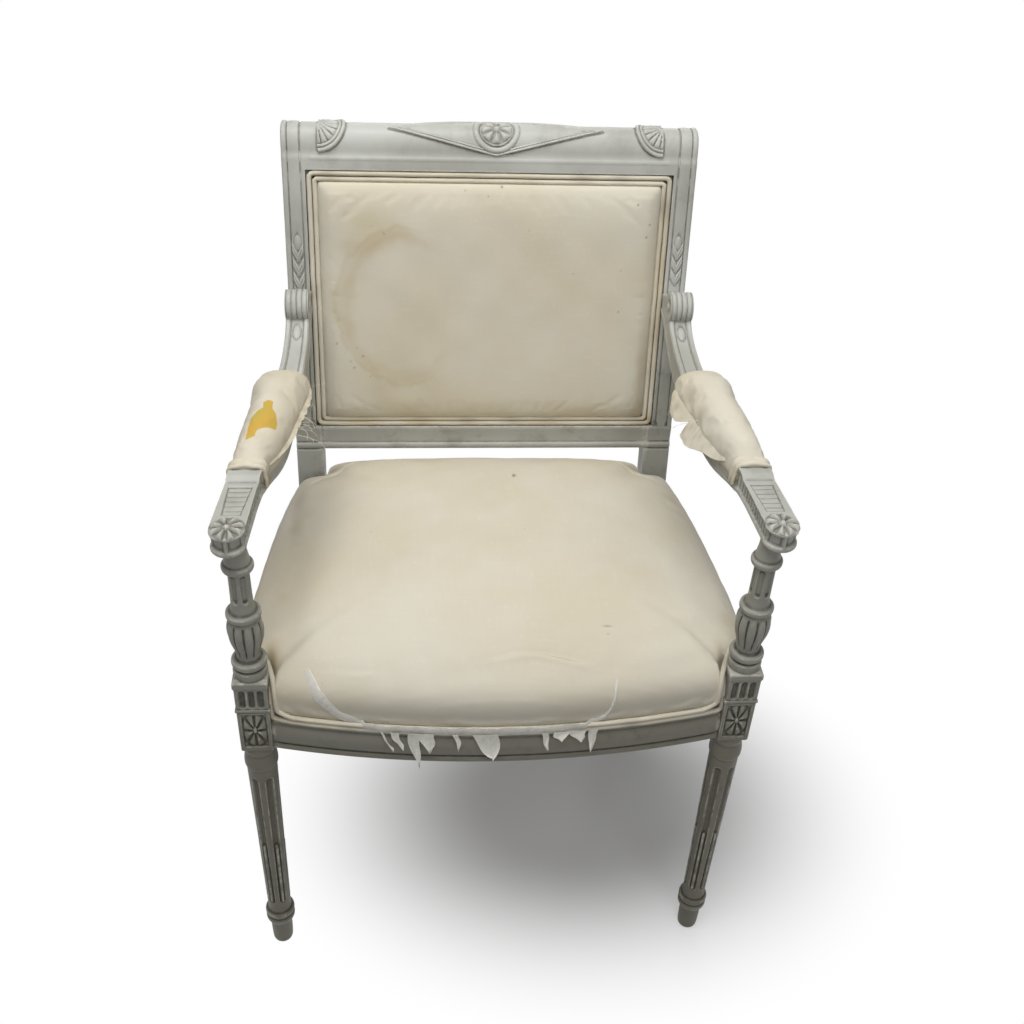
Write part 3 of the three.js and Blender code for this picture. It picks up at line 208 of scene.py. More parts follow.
def skin(rings, closed=True, looped=False, caps=True):
    """Points and faces over rings of points, an array of rows, columns and three."""
    rings = np.asarray(rings, float)
    rows, columns = rings.shape[:2]
    index = np.arange(rows * columns).reshape(rows, columns)
    if closed:
        index = np.hstack([index, index[:, :1]])
    if looped:
        index = np.vstack([index, index[:1]])
    a, b, c, d = index[:-1, :-1], index[:-1, 1:], index[1:, 1:], index[1:, :-1]
    faces = np.stack([a, b, c, d], -1).reshape(-1, 4).tolist()
    if caps and closed and not looped:
        faces.append(list(range(columns))[::-1])
        faces.append([(rows - 1) * columns + i for i in range(columns)])
    points = rings.reshape(-1, 3)
    return points, faces if volume(points, faces) >= 0 else [face[::-1] for face in faces]


def volume(points, faces):
    """Six times the signed volume inside the faces."""
    total = 0.0
    for size in sorted({len(face) for face in faces}):
        corners_of = np.array([face for face in faces if len(face) == size])
        first = points[corners_of[:, 0]]
        for i in range(1, size - 1):
            second, third = points[corners_of[:, i]], points[corners_of[:, i + 1]]
            total += np.einsum("ij,ij->", first, np.cross(second, third))
    return total


def joined(*shells):
    """Several shells as one set of points and faces."""
    points, faces, start = [], [], 0
    for shell_points, shell_faces in shells:
        points.append(shell_points)
        faces += [[i + start for i in face] for face in shell_faces]
        start += len(shell_points)
    return np.vstack(points), faces


def on_side(shell, side):
    """The shell of the right side, mirrored where the left one is meant."""
    points, faces = shell
    return shell if side > 0 else (points * MIRROR, [face[::-1] for face in faces])


def raked(points):
    """From the raked back's own frame (across, into the back, up along it) to the chair's."""
    x, d, h = points[..., 0], points[..., 1], points[..., 2]
    y = SEAT_DEPTH + d * math.cos(RAKE) + h * math.sin(RAKE)
    z = RAKE_START - d * math.sin(RAKE) + h * math.cos(RAKE)
    return points_at(x, y, z)


def unraked(points):
    y, z = points[..., 1] - SEAT_DEPTH, points[..., 2] - RAKE_START
    d = y * math.cos(RAKE) - z * math.sin(RAKE)
    h = y * math.sin(RAKE) + z * math.cos(RAKE)
    return points_at(points[..., 0], d, h)


def to_metres(points):
    return (points + np.array([0, LEG_AXIS_Y / MILLIMETRE, 0])) * MILLIMETRE


def millimetres_of(mesh):
    flat = np.empty(len(mesh.vertices) * 3)
    mesh.vertices.foreach_get("co", flat)
    return flat.reshape(-1, 3) / MILLIMETRE - np.array([0, LEG_AXIS_Y / MILLIMETRE, 0])


def new_piece(name, mesh, material):
    """Links a mesh as an object and gives it one material."""
    mesh.name = name
    mesh.materials.clear()
    mesh.materials.append(material)
    piece = bpy.data.objects.new(name, mesh)
    bpy.context.scene.collection.objects.link(piece)
    return piece


def make(name, shell, material, sharp_degrees=38):
    """A smooth shaded object from a shell in millimetres, sharp where it turns steeply."""
    points, faces = shell
    mesh = bpy.data.meshes.new(name)
    mesh.from_pydata(to_metres(points).tolist(), [], faces)
    mesh.update()
    mesh.shade_smooth()
    mesh.set_sharp_from_angle(angle=math.radians(sharp_degrees))
    return new_piece(name, mesh, material)


def edges_of(mesh):
    flat = np.empty(len(mesh.edges) * 2, int)
    mesh.edges.foreach_get("vertices", flat)
    return flat.reshape(-1, 2)


def neighbour_mean(values, edges, degree):
    total = np.zeros_like(values)
    np.add.at(total, edges[:, 0], values[edges[:, 1]])
    np.add.at(total, edges[:, 1], values[edges[:, 0]])
    return total / degree


def write_attribute(mesh, name, values):
    layer = mesh.attributes.get(name) or mesh.attributes.new(name, "FLOAT", "POINT")
    layer.data.foreach_set("value", np.asarray(values, np.float32))


def carve_marks(mesh, cut=None, reach=3):
    """Writes how hollow (above a half) or proud (under a half) each point lies, but not at a cut."""
    points = millimetres_of(mesh)
    normals = np.empty(len(points) * 3)
    mesh.vertex_normals.foreach_get("vector", normals)
    normals = normals.reshape(-1, 3)
    edges = edges_of(mesh)
    degree = np.maximum(np.bincount(edges.ravel(), minlength=len(points)), 1)
    mean = neighbour_mean(points, edges, degree[:, None])
    spread = np.linalg.norm(points[edges[:, 0]] - points[edges[:, 1]], axis=1)
    size = np.zeros(len(points))
    np.add.at(size, edges[:, 0], spread)
    np.add.at(size, edges[:, 1], spread)
    hollow = np.einsum("ij,ij->i", mean - points, normals) / np.maximum(size / degree, 1e-6) ** 1.2
    hollow = clamp(hollow, -0.6, 0.6)
    even = points
    for _ in range(16):
        even = 0.3 * even + 0.7 * neighbour_mean(even, edges, degree[:, None])
    sunk = clamp(np.einsum("ij,ij->i", even - points, normals), -1.6, 1.6)
    if cut:
        plain = cut(points)
        hollow, sunk = np.where(plain, 0, hollow), np.where(plain, 0, sunk)
    for _ in range(reach):
        hollow = 0.4 * hollow + 0.6 * neighbour_mean(hollow, edges, degree)
    write_attribute(mesh, "carving", clamp(0.5 + 1.8 * hollow + 0.22 * sunk))


def settle(piece, slot, *nodes):
    """The piece rides on the chair's one body and stands for its nodes; the slot is not used."""
    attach(piece, "root")
    if nodes:
        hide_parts(*nodes)
    return piece


def evaluated_mesh(piece):
    """A plain mesh of the object as its modifiers leave it."""
    graph = bpy.context.evaluated_depsgraph_get()
    graph.update()
    return bpy.data.meshes.new_from_object(piece.evaluated_get(graph))


# Shader maths

def linear(red, green, blue):
    """A screen colour of 0 to 255 as the shader's linear colour."""
    parts = [c / 255 for c in (red, green, blue)]
    return [c / 12.92 if c <= 0.04045 else ((c + 0.055) / 1.055) ** 2.4 for c in parts] + [1.0]


def operator_pair(operation):
    """The methods for an operator and for its reflected form."""
    def forward(self, other):
        return self.finish.node("ShaderNodeMath", {"operation": operation}, {0: self, 1: other})

    def reflected(self, other):
        return self.finish.node("ShaderNodeMath", {"operation": operation}, {0: other, 1: self})
    return forward, reflected


class Link:
    """A shader socket that can be used in sums."""
    __add__, __radd__ = operator_pair("ADD")
    __sub__, __rsub__ = operator_pair("SUBTRACT")
    __mul__, __rmul__ = operator_pair("MULTIPLY")
    __pow__, __rpow__ = operator_pair("POWER")

    def __init__(self, finish, socket):
        self.finish, self.socket = finish, socket

    def step(self, low, high):
        """0 below low, 1 above high, and smooth between; high may be under low."""
        return self.finish.node("ShaderNodeMapRange", {"interpolation_type": "SMOOTHSTEP"}, {
            "Value": self, "From Min": low, "From Max": high, "To Min": 0.0, "To Max": 1.0,
        })


class Finish:
    """The nodes of a new material, or of the world that is given."""

    def __init__(self, name, world=None):
        self.material = world or bpy.data.materials.new(name)
        self.material.use_nodes = True
        self.tree = self.material.node_tree
        self.tree.nodes.clear()
        self.places = {}

    def node(self, kind, settings=None, sockets=None, out=0):
        """Adds a node: its settings first, then values or links into its sockets."""
        made = self.tree.nodes.new(kind)
        for key, value in (settings or {}).items():
            setattr(made, key, value)
        for key, value in (sockets or {}).items():
            target = self.found(made.inputs, key)
            if isinstance(value, Link):
                self.tree.links.new(value.socket, target)
            else:
                target.default_value = value
        return Link(self, self.found(made.outputs, out)) if made.outputs else None

    @staticmethod
    def found(sockets, key):
        """The socket with this identifier, name or number."""
        exact = [s for s in sockets if s.identifier == key]
        return exact[0] if exact else sockets[key]

    def place(self):
        """Object coordinates, in metres."""
        if "object" not in self.places:
            self.places["object"] = self.node("ShaderNodeTexCoord", out="Object")
        return self.places["object"]

    def axis(self, name):
        if "split" not in self.places:
            self.places["split"] = self.node("ShaderNodeSeparateXYZ", sockets={0: self.place()}).socket.node
        return Link(self, self.places["split"].outputs[name])

    def mark(self, name):
        """One of the piece's own point attributes."""
        return self.node("ShaderNodeAttribute", {"attribute_name": name}, out="Fac")

    def cloud(self, size, detail=4.0, roughness=0.55, stretch=(1.0, 1.0, 1.0)):
        """Noise of 0 to 1 with patches about as large as size, in metres."""
        where = self.node("ShaderNodeMapping", sockets={"Vector": self.place(), "Scale": stretch})
        return self.node("ShaderNodeTexNoise", sockets={
            "Vector": where, "Scale": 1 / size, "Detail": detail, "Roughness": roughness,
        })

    def blend(self, share, a, b):
        return self.node("ShaderNodeMix", {"data_type": "RGBA"}, {
            "Factor_Float": share, "A_Color": a, "B_Color": b,
        }, "Result_Color")

    def coats(self, base, rows):
        """Colours laid over a base, each row a share and a screen colour."""
        for share, colour in rows:
            base = self.blend(share, base, linear(*colour))
        return base

    def bump(self, height, distance, strength=1.0):
        return self.node("ShaderNodeBump", sockets={
            "Height": height, "Distance": distance, "Strength": strength,
        })

    def surface(self, **sockets):
        """Ends the material in a Principled shader."""
        names = {key.replace("_", " "): value for key, value in sockets.items()}
        shader = self.node("ShaderNodeBsdfPrincipled", sockets=names)
        self.node("ShaderNodeOutputMaterial", sockets={"Surface": shader})
        return self.material


def paint_finish(sizes):
    """Old grey-green paint: dirt in the hollows, rubbed edges, chips and brush marks, and painted shade that
    darkens the lower wood.
    """
    f = Finish("worn_paint")
    carving = f.mark("carving")
    broad, fine, grain = f.cloud(0.11), f.cloud(0.007, 6.0), f.cloud(0.0018, 3.0)
    streaks = f.cloud(0.03, 3.0, 0.5, (3.0, 3.0, 1.0))
    base = f.blend(broad.step(0.3, 0.7), tuple(sizes.paint_dark) + (1,), tuple(sizes.paint) + (1,))
    # lower is 0 above 0.70 m and 1 below 0.58 m, halved towards the back; it carries the painted shade of the
    # low wood and also weights dirt, grime and wear
    lower = f.axis("Z").step(0.70, 0.58) * (1 - 0.5 * f.axis("Y").step(0.08, 0.16))
    hollow = (carving + 0.03 * lower).step(0.53, 0.70)
    dirt = hollow * (0.5 + 0.5 * fine.step(0.25, 0.7)) * sizes.dirt * (0.62 + 0.38 * lower)
    grime = f.cloud(0.035, 5.0, 0.65).step(0.5, 0.75) * (0.3 + 0.7 * lower)
    edge = carving.step(0.40, 0.20)
    rubbed = edge * f.cloud(0.022, 5.0).step(0.40, 0.62) * sizes.wear * (0.45 + 0.55 * lower)
    chips = (edge * 0.3 + f.cloud(0.012, 6.0, 0.7)).step(0.80, 0.85) * sizes.wear
    base = f.coats(base, [
        (streaks.step(0.5, 0.8) * 0.18, (196, 196, 188)),
        # painted shade: the low wood darkened and browned, more again below 0.48 m, for the overhead light
        # that reaches it less
        (lower * 0.54 + f.axis("Z").step(0.48, 0.34) * 0.36, (94, 89, 71)),
        (dirt, (46, 42, 34)), (grime * 0.6, (82, 75, 58)), (rubbed * 0.62, (196, 193, 182)),
        (chips * 0.6, (204, 198, 184)), (f.cloud(0.005, 2.0).step(0.73, 0.77) * 0.35, (88, 82, 70)),
    ])
    height = fine * 0.5 + grain * 0.2 + streaks * 0.6 - chips * 0.6
    rough = 0.44 + 0.16 * broad + 0.24 * hollow - 0.10 * rubbed
    return f.surface(
        Base_Color=base, Roughness=rough, Normal=f.bump(height, 0.0003, 0.4),
        Specular_IOR_Level=0.45, Coat_Weight=0.08, Coat_Roughness=0.35,
    )


def weave(f, thread):
    """Height of a plain weave of 0 to 1 that follows whichever way the cloth faces."""
    normal = f.node("ShaderNodeTexCoord", out="Normal")
    squared = f.node("ShaderNodeVectorMath", {"operation": "MULTIPLY"}, {0: normal, 1: normal})
    facing = f.node("ShaderNodeSeparateXYZ", sockets={0: squared}).socket.node
    x, y, z = [
        f.node("ShaderNodeMath", {"operation": "SINE"}, {0: f.axis(name) * (math.pi / thread)})
        for name in "XYZ"
    ]
    pairs = {"X": y * z, "Y": x * z, "Z": x * y}
    return 0.5 + 0.5 * sum((Link(f, facing.outputs[name]) * pairs[name] for name in "XYZ"), 0.0)


def cloth_finish(sizes):
    """Plain cream lining cloth: weave, slubs, yellow stains, grey handling marks, and on the seat a painted
    shade line along the front crease.
    """
    f = Finish("lining_cloth")
    stain, grey, ochre = f.mark("stain"), f.mark("soil"), f.mark("ochre")
    threads = weave(f, sizes.thread * MILLIMETRE)
    slubs = f.cloud(0.004, 4.0, 0.6, (1.0, 0.12, 1.0)) * 0.5
    slubs = slubs + f.cloud(0.004, 4.0, 0.6, (0.12, 1.0, 1.0)) * 0.5
    broad, patch = f.cloud(0.16, 3.0), f.cloud(0.035, 5.0, 0.6)
    base = f.blend(broad.step(0.35, 0.7), tuple(sizes.cloth) + (1,), linear(214, 205, 183))
    tan = (stain * (0.62 + 0.7 * patch)).step(0.12, 0.95) * sizes.stains
    deep = (stain * (0.5 + 0.9 * patch)).step(0.82, 1.25) * sizes.stains
    foxing = f.cloud(0.008, 2.0).step(0.74, 0.79) * broad.step(0.45, 0.6)
    base = f.coats(base, [
        (slubs.step(0.5, 0.72) * 0.22, (236, 230, 214)), ((1 - threads) * 0.10, (168, 156, 130)),
        (tan * 0.62, (184, 164, 118)), (deep * 0.5, (140, 112, 70)),
        # the soil mark: grey handling marks, and on the seat also painted shade behind the front crease
        ((grey * (0.6 + 0.7 * patch)).step(0.1, 1.0) * 0.8, (126, 114, 90)), (foxing * 0.4, (158, 124, 78)),
    ])
    torn_scrap = (ochre + 0.12 * (patch - 0.5)).step(0.47, 0.53)
    yellow = f.blend(patch.step(0.35, 0.6), linear(204, 160, 60), linear(192, 166, 66))
    base = f.blend(torn_scrap * 0.95, base, yellow)
    height = threads * 0.6 + slubs * 0.9
    return f.surface(
        Base_Color=base, Roughness=0.86 + 0.1 * slubs, Normal=f.bump(height, 0.00028, 0.6),
        Sheen_Weight=0.12, Sheen_Roughness=0.5, Specular_IOR_Level=0.22,
    )


def gauze_finish():
    """Thin torn scraps that let some light through."""
    f = Finish("torn_gauze")
    threads = weave(f, 0.0009)
    patch = f.cloud(0.012, 5.0, 0.65)
    base = f.blend(patch.step(0.3, 0.75), linear(246, 244, 236), linear(226, 223, 212))
    alpha = 0.46 + 0.40 * patch.step(0.25, 0.65) + 0.08 * threads
    return f.surface(
        Base_Color=base, Roughness=0.75 + 0.1 * patch, Alpha=alpha,
        Normal=f.bump(threads + patch, 0.0003, 0.5),
    )


def jute_finish():
    """Woven jute: ribs along and across, darker lines near the edges."""
    f = Finish("woven_jute")
    ribs = weave(f, 0.0022)
    hairs = f.cloud(0.003, 5.0, 0.7)
    base = f.blend(hairs.step(0.3, 0.7), linear(150, 122, 82), linear(181, 153, 108))
    worn = f.cloud(0.05).step(0.45, 0.7) * 0.4
    base = f.coats(base, [((1 - ribs) * 0.55, (96, 74, 46)), (worn, (112, 90, 60))])
    normal = f.bump(ribs + 0.5 * hairs, 0.0009, 0.8)
    return f.surface(Base_Color=base, Roughness=0.9 + 0.05 * hairs, Normal=normal)


def beech_finish():
    """Bare sawn beech with flecks and saw marks."""
    f = Finish("sawn_beech")
    grain = f.cloud(0.02, 6.0, 0.6, (0.4, 1.0, 6.0))
    flecks = f.cloud(0.0035, 2.0, 0.5, (0.35, 1.0, 2.4)).step(0.62, 0.7)
    marks = f.node("ShaderNodeTexWave", {"bands_direction": "DIAGONAL"}, {
        "Vector": f.place(), "Scale": 190.0, "Distortion": 2.0, "Detail": 2.0,
    })
    base = f.blend(grain.step(0.3, 0.7), linear(186, 148, 104), linear(212, 178, 132))
    dull = f.cloud(0.06).step(0.4, 0.75) * 0.35
    base = f.coats(base, [(flecks * 0.4, (142, 104, 66)), (dull, (120, 92, 62))])
    normal = f.bump(grain + 0.4 * marks, 0.0004, 0.6)
    return f.surface(Base_Color=base, Roughness=0.62 + 0.2 * grain, Normal=normal)


def steel_finish(name, colour, rust):
    """Dull steel with rust in patches."""
    f = Finish(name)
    patch, fine = f.cloud(0.02, 5.0, 0.7), f.cloud(0.0015, 4.0)
    rusty = patch.step(0.62 - 0.25 * rust, 0.72)
    base = f.blend(rusty, colour, linear(104, 62, 36))
    return f.surface(
        Base_Color=base, Metallic=0.92 - 0.8 * rusty, Roughness=0.36 + 0.2 * fine + 0.3 * rusty,
        Normal=f.bump(fine + patch, 0.0002, 0.5),
    )


# Turned and carved wood

# Profile of the turned leg as shares of its radius and of its height
LEG_SHARES = [
    (0.50, 0), (0.57, 0.0022), (0.665, 0.011), (0.69, 0.06), (0.71, 0.119), (0.80, 0.122), (0.905, 0.126),
    (0.945, 0.133), (0.945, 0.141), (0.91, 0.147), (0.86, 0.150), (0.86, 0.154), (0.91, 0.157),
    (0.955, 0.163), (0.955, 0.171), (0.90, 0.177), (0.80, 0.180), (0.76, 0.19), (0.74, 0.228),
    (0.9, 0.868), (0.905, 0.900),
    (0.92, 0.909), (0.975, 0.913), (1.0, 0.920), (1.0, 0.932), (0.98, 0.944), (0.94, 0.955), (0.90, 0.964),
    (0.885, 0.970), (0.90, 0.975), (0.925, 0.980), (0.925, 0.988), (0.88, 0.994), (0.87, 1.008),
]
LEG_FLUTES = 6
FLUTE_LOW, FLUTE_HIGH = 86, 320
ROD_TOP = 197
FLUTE_HALF = 4.2

# Profile of the arm support in the same shares
SUPPORT_RADIUS = 18.6
SUPPORT_HEIGHT = ARM_UNDERSIDE - BLOCK_TOP
SUPPORT_SHARES = [
    (0.88, 0), (0.94, 0.008), (0.97, 0.03), (0.96, 0.052), (0.92, 0.062), (0.78, 0.066), (0.75, 0.074),
    (0.78, 0.082), (0.93, 0.086), (0.99, 0.095), (1.0, 0.110), (0.97, 0.124), (0.90, 0.130), (0.74, 0.134),
    (0.67, 0.140), (0.66, 0.155), (0.71, 0.19), (0.83, 0.25), (0.93, 0.305), (0.965, 0.345), (0.95, 0.385),
    (0.88, 0.42), (0.78, 0.438), (0.70, 0.445), (0.71, 0.450), (0.88, 0.453), (0.95, 0.459), (0.965, 0.474),
    (0.955, 0.487), (0.92, 0.493), (0.80, 0.498), (0.70, 0.507), (0.64, 0.525), (0.61, 0.55), (0.6, 0.575),
    (0.585, 0.785), (0.60, 0.793), (0.72, 0.797), (0.82, 0.803), (0.86, 0.815), (0.865, 0.828), (0.84, 0.840),
    (0.74, 0.846), (0.69, 0.856), (0.67, 0.872), (0.62, 0.9), (0.575, 0.93), (0.57, 0.97), (0.6, 1.0),
]
SUPPORT_FLUTE_SHARES = (0.578, 0.782)
GADROONS = 10


def turned(shares, radius, height, step, sides, relief, foot=0.0):
    """A turning about z whose radius a relief of (angle, height, radius) changes."""
    profile = evened(rounded([(r * radius, z * height) for r, z in shares], 2), step)
    angle = 2 * math.pi * np.arange(sides) / sides
    r, z = profile[:, :1], profile[:, 1:]
    across = r + relief(angle[None, :], z, r)
    return skin(points_at(across * np.cos(angle), across * np.sin(angle), z + foot))


def around(angle, count, shift=0.0):
    """Angle from the nearest of so many even places round a circle."""
    pitch = 2 * math.pi / count
    return (angle - shift + pitch / 2) % pitch - pitch / 2


def flute(distance, along, low, high, half, depth):
    """A hollow with round ends, as a negative height."""
    past = np.maximum(np.maximum(low + half - along, along - high + half), 0)
    return -depth * dome(np.hypot(distance, past), half)


def leg_relief(depth):
    def relief(angle, z, r):
        off = around(angle, LEG_FLUTES, math.pi / LEG_FLUTES - math.pi / 2) * r
        hollow = flute(off, z, FLUTE_LOW, FLUTE_HIGH, FLUTE_HALF, depth)
        rod_half = 0.62 * FLUTE_HALF
        past = np.maximum(np.maximum(FLUTE_LOW + rod_half - z, z - ROD_TOP + rod_half), 0)
        rod = 1.15 * depth * dome(np.hypot(off, past), rod_half) - depth
        pip = 1.1 * dome(np.hypot(off, z - ROD_TOP + 1), 2.4) - 0.4 * depth
        inside = np.abs(off) < FLUTE_HALF
        raised = np.maximum(hollow, np.where(rod > -0.99 * depth, rod, -99))
        raised = np.maximum(raised, np.where(np.hypot(off, z - ROD_TOP + 1) < 2.4, pip, -99))
        return np.where(inside & (z > FLUTE_LOW) & (z < FLUTE_HIGH), np.minimum(raised, 0.5), 0)
    return relief


def support_relief(depth):
    low, high = [share * SUPPORT_HEIGHT for share in SUPPORT_FLUTE_SHARES]

    def relief(angle, z, r):
        off = around(angle, LEG_FLUTES, math.pi / LEG_FLUTES - math.pi / 2) * r
        hollow = flute(off, z, low, high, 3.8, 0.9 * depth)
        share = z / SUPPORT_HEIGHT
        lobes = np.sqrt(np.abs(np.cos(GADROONS * angle / 2))) - 1
        strength = smooth_step(share, 0.15, 0.2) * (1 - smooth_step(share, 0.4, 0.44))
        ends = np.hypot(around(angle, GADROONS) * r / 5.2, np.maximum(share - 0.345, 0) / 0.085)
        egg = dome(ends, 1.0) * smooth_step(share, 0.2, 0.3) * (share < 0.44)
        return hollow + strength * 3.0 * lobes + 1.0 * egg
    return relief


def petals(x, y, count, turn=0.0, core=0.2, inner=0.1, spread=0.42):
    """Height of a round flower of wedge petals, for x and y in shares of its radius."""
    rho, phi = np.hypot(x, y), np.arctan2(y, x)
    off = np.abs(around(phi, count, turn)) / (math.pi / count)
    width = 0.34 + spread * smooth_step(rho, inner, 0.7)
    leaf = dome(off, width) * dome(np.maximum(rho - 0.66, 0), 0.33) * smooth_step(rho, inner, inner + 0.18)
    return np.maximum(leaf, 1.15 * dome(rho, core))


def block_relief(across, z, carved):
    """Height of the square block's face: a flower in a sunk panel and three flutes above."""
    if not carved:
        return 0 * across * z
    panel_half, middle = BLOCK_HALF - 4, (LEG_HEIGHT + 8 + ROSETTE_TOP - 4) / 2
    tall = (ROSETTE_TOP - 4 - LEG_HEIGHT - 8) / 2
    x, y = across / panel_half, (z - middle) / tall
    edge = np.minimum(panel_half - np.abs(across), tall - np.abs(z - middle))
    sunk = -2.7 * smooth_step(edge, 0.0, 0.9)
    corner = 0.9 * dome(np.hypot(np.abs(x) - 1.0, np.abs(y) - 1.0), 0.3)
    flower = 2.7 * petals(0.98 * x, 0.98 * y, 8, math.pi / 8, 0.19) + 1.6 * corner * (edge > 0)
    panel = sunk + np.where(edge > 0.6, flower, 0)
    pitch = 2 * BLOCK_HALF / 3.6
    off = np.abs(across) % pitch
    off = np.where(np.abs(across) < pitch / 2, across, np.abs(across) - pitch)
    flutes = flute(off, z, FLUTED_FOOT + 1.5, FLUTED_TOP - 1.2, 3.7, 3.0)
    return panel + flutes * (np.abs(across) < 1.45 * pitch)


def front_leg_shells(side, sizes):
    """The turned leg and its square block, in place."""
    leg = turned(LEG_SHARES, LEG_RADIUS, LEG_HEIGHT, 1.1, 132, leg_relief(sizes.flute_depth))
    wide = BLOCK_HALF + LEDGE
    half = BLOCK_HALF
    profile = [
        (half - 2.2, LEG_HEIGHT), (half - 1.4, LEG_HEIGHT + 0.4), (half - 0.2, LEG_HEIGHT + 2.6),
        (half, LEG_HEIGHT + 3.4), (half, ROSETTE_TOP - 0.2), (wide - 0.5, ROSETTE_TOP),
        (wide, ROSETTE_TOP + 0.7), (wide, FLUTED_FOOT - 0.7), (wide - 0.5, FLUTED_FOOT),
        (half, FLUTED_FOOT + 0.2), (half, FLUTED_TOP - 0.2), (half + 0.3, FLUTED_TOP + 0.8),
        (wide - 0.2, FLUTED_TOP + 2.4), (wide, FLUTED_TOP + 3.4), (wide, BLOCK_TOP - 1.2),
        (wide - 0.9, BLOCK_TOP - 0.25), (wide - 1.6, BLOCK_TOP),
    ]
    count = 52
    rows = []
    across = np.linspace(-1, 1, count, endpoint=False) + 1 / count
    carved = (True, side > 0, False, side < 0)
    for half, z in evened(profile, 0.75):
        ring = []
        for face in range(4):
            u = across * half
            out = half + block_relief(u, z, carved[face]) - 0.5 * bell(half - np.abs(u), 0.35)
            turn = -math.pi / 2 + face * math.pi / 2
            x = out * math.cos(turn) - u * math.sin(turn)
            y = out * math.sin(turn) + u * math.cos(turn)
            ring.append(points_at(x, y, z))
        rows.append(np.vstack(ring))
    points, faces = joined(leg, skin(rows))
    return points + np.array([side * LEG_X, 0, 0]), faces


# Arms

# Places along the arm as (y, value) rows, in millimetres from the front leg axes
ARM_NOSE_Y = -11
ARM_NOSE_RADIUS = 17
ARM_MIDDLE = [
    (-60, 270.3), (-11, 266), (84, 257.6), (134, 245), (193, 238.3), (252, 227.4), (300, 224.4), (352, 224),
    (400, 224),
]
ARM_HALF = [
    (-60, 17), (-11, 17), (84, 15.9), (110, 20.2), (134, 21.5), (193, 19.2), (252, 13.25), (400, 13.25),
]
ARM_BOTTOM = [
    (-60, 650), (70, 650), (80, 646.4), (110, 644), (166, 642.5), (238, 646.7), (285, 652.5), (325, 662.4),
    (357, 676.6), (378, 684), (400, 690),
]
ARM_RISE = [
    (252, 677), (262, 681), (289, 685.7), (313, 690.7), (331, 697.2), (341, 704), (352, 716), (366, 723),
    (400, 709),
]
SCROLL_X, SCROLL_Y, SCROLL_Z, SCROLL_RADIUS = 224, 352.45, 715, 18
SCROLL_HALF = 13.25
REEDS = 4


def post_front_at(z):
    return SEAT_DEPTH + (z - RAKE_START) * math.tan(RAKE)


def arm_top_relief(x, y, middle):
    """Height of the carved top of the arm block above its flat."""
    off = x - middle
    flower = 5.0 * petals(off / 16.6, (y - ARM_NOSE_Y) / 16.6, 8, math.pi / 8, 0.24, 0.06, 0.24)
    rim = (np.hypot(off, y - ARM_NOSE_Y) < 16.8) | (y < ARM_NOSE_Y)
    top = np.where(rim, flower - 1.6, 0)
    inside = np.minimum(mix(9.8, 12.4, clamp((y - 9) / 46)) - np.abs(off), np.minimum(y - 9, 55 - y))
    ribs = 0.8 * np.abs(np.sin(math.pi * (y - 9) / 7.67)) ** 0.7
    ribbed = -1.7 * smooth_step(inside, 0, 1.0) + ribs * smooth_step(inside, 1.0, 2.0)
    return top + np.where(inside > 0, ribbed, 0) + 4.4 * smooth_step(y, 60, 70.5)


def arm_side_relief(share, run):
    """Outward height of the block's side, for a share of the height up and a run along it."""
    lip = 1.0 * dome(share - 0.09, 0.13) + 0.7 * dome(share - 0.92, 0.1)
    wall = -3.4 * smooth_step(share, 0.18, 0.3) * (1 - smooth_step(share, 0.78, 0.9))
    pitch = 6.8
    off = (run + pitch / 2) % pitch - pitch / 2
    straight = smooth_step(run, ARM_NOSE_Y - 9, ARM_NOSE_Y - 3)
    ribs = 2.6 * dome(off, 2.2) * smooth_step(share, 0.2, 0.3) * (1 - smooth_step(share, 0.76, 0.86))
    return lip - 0.9 + wall + ribs * straight


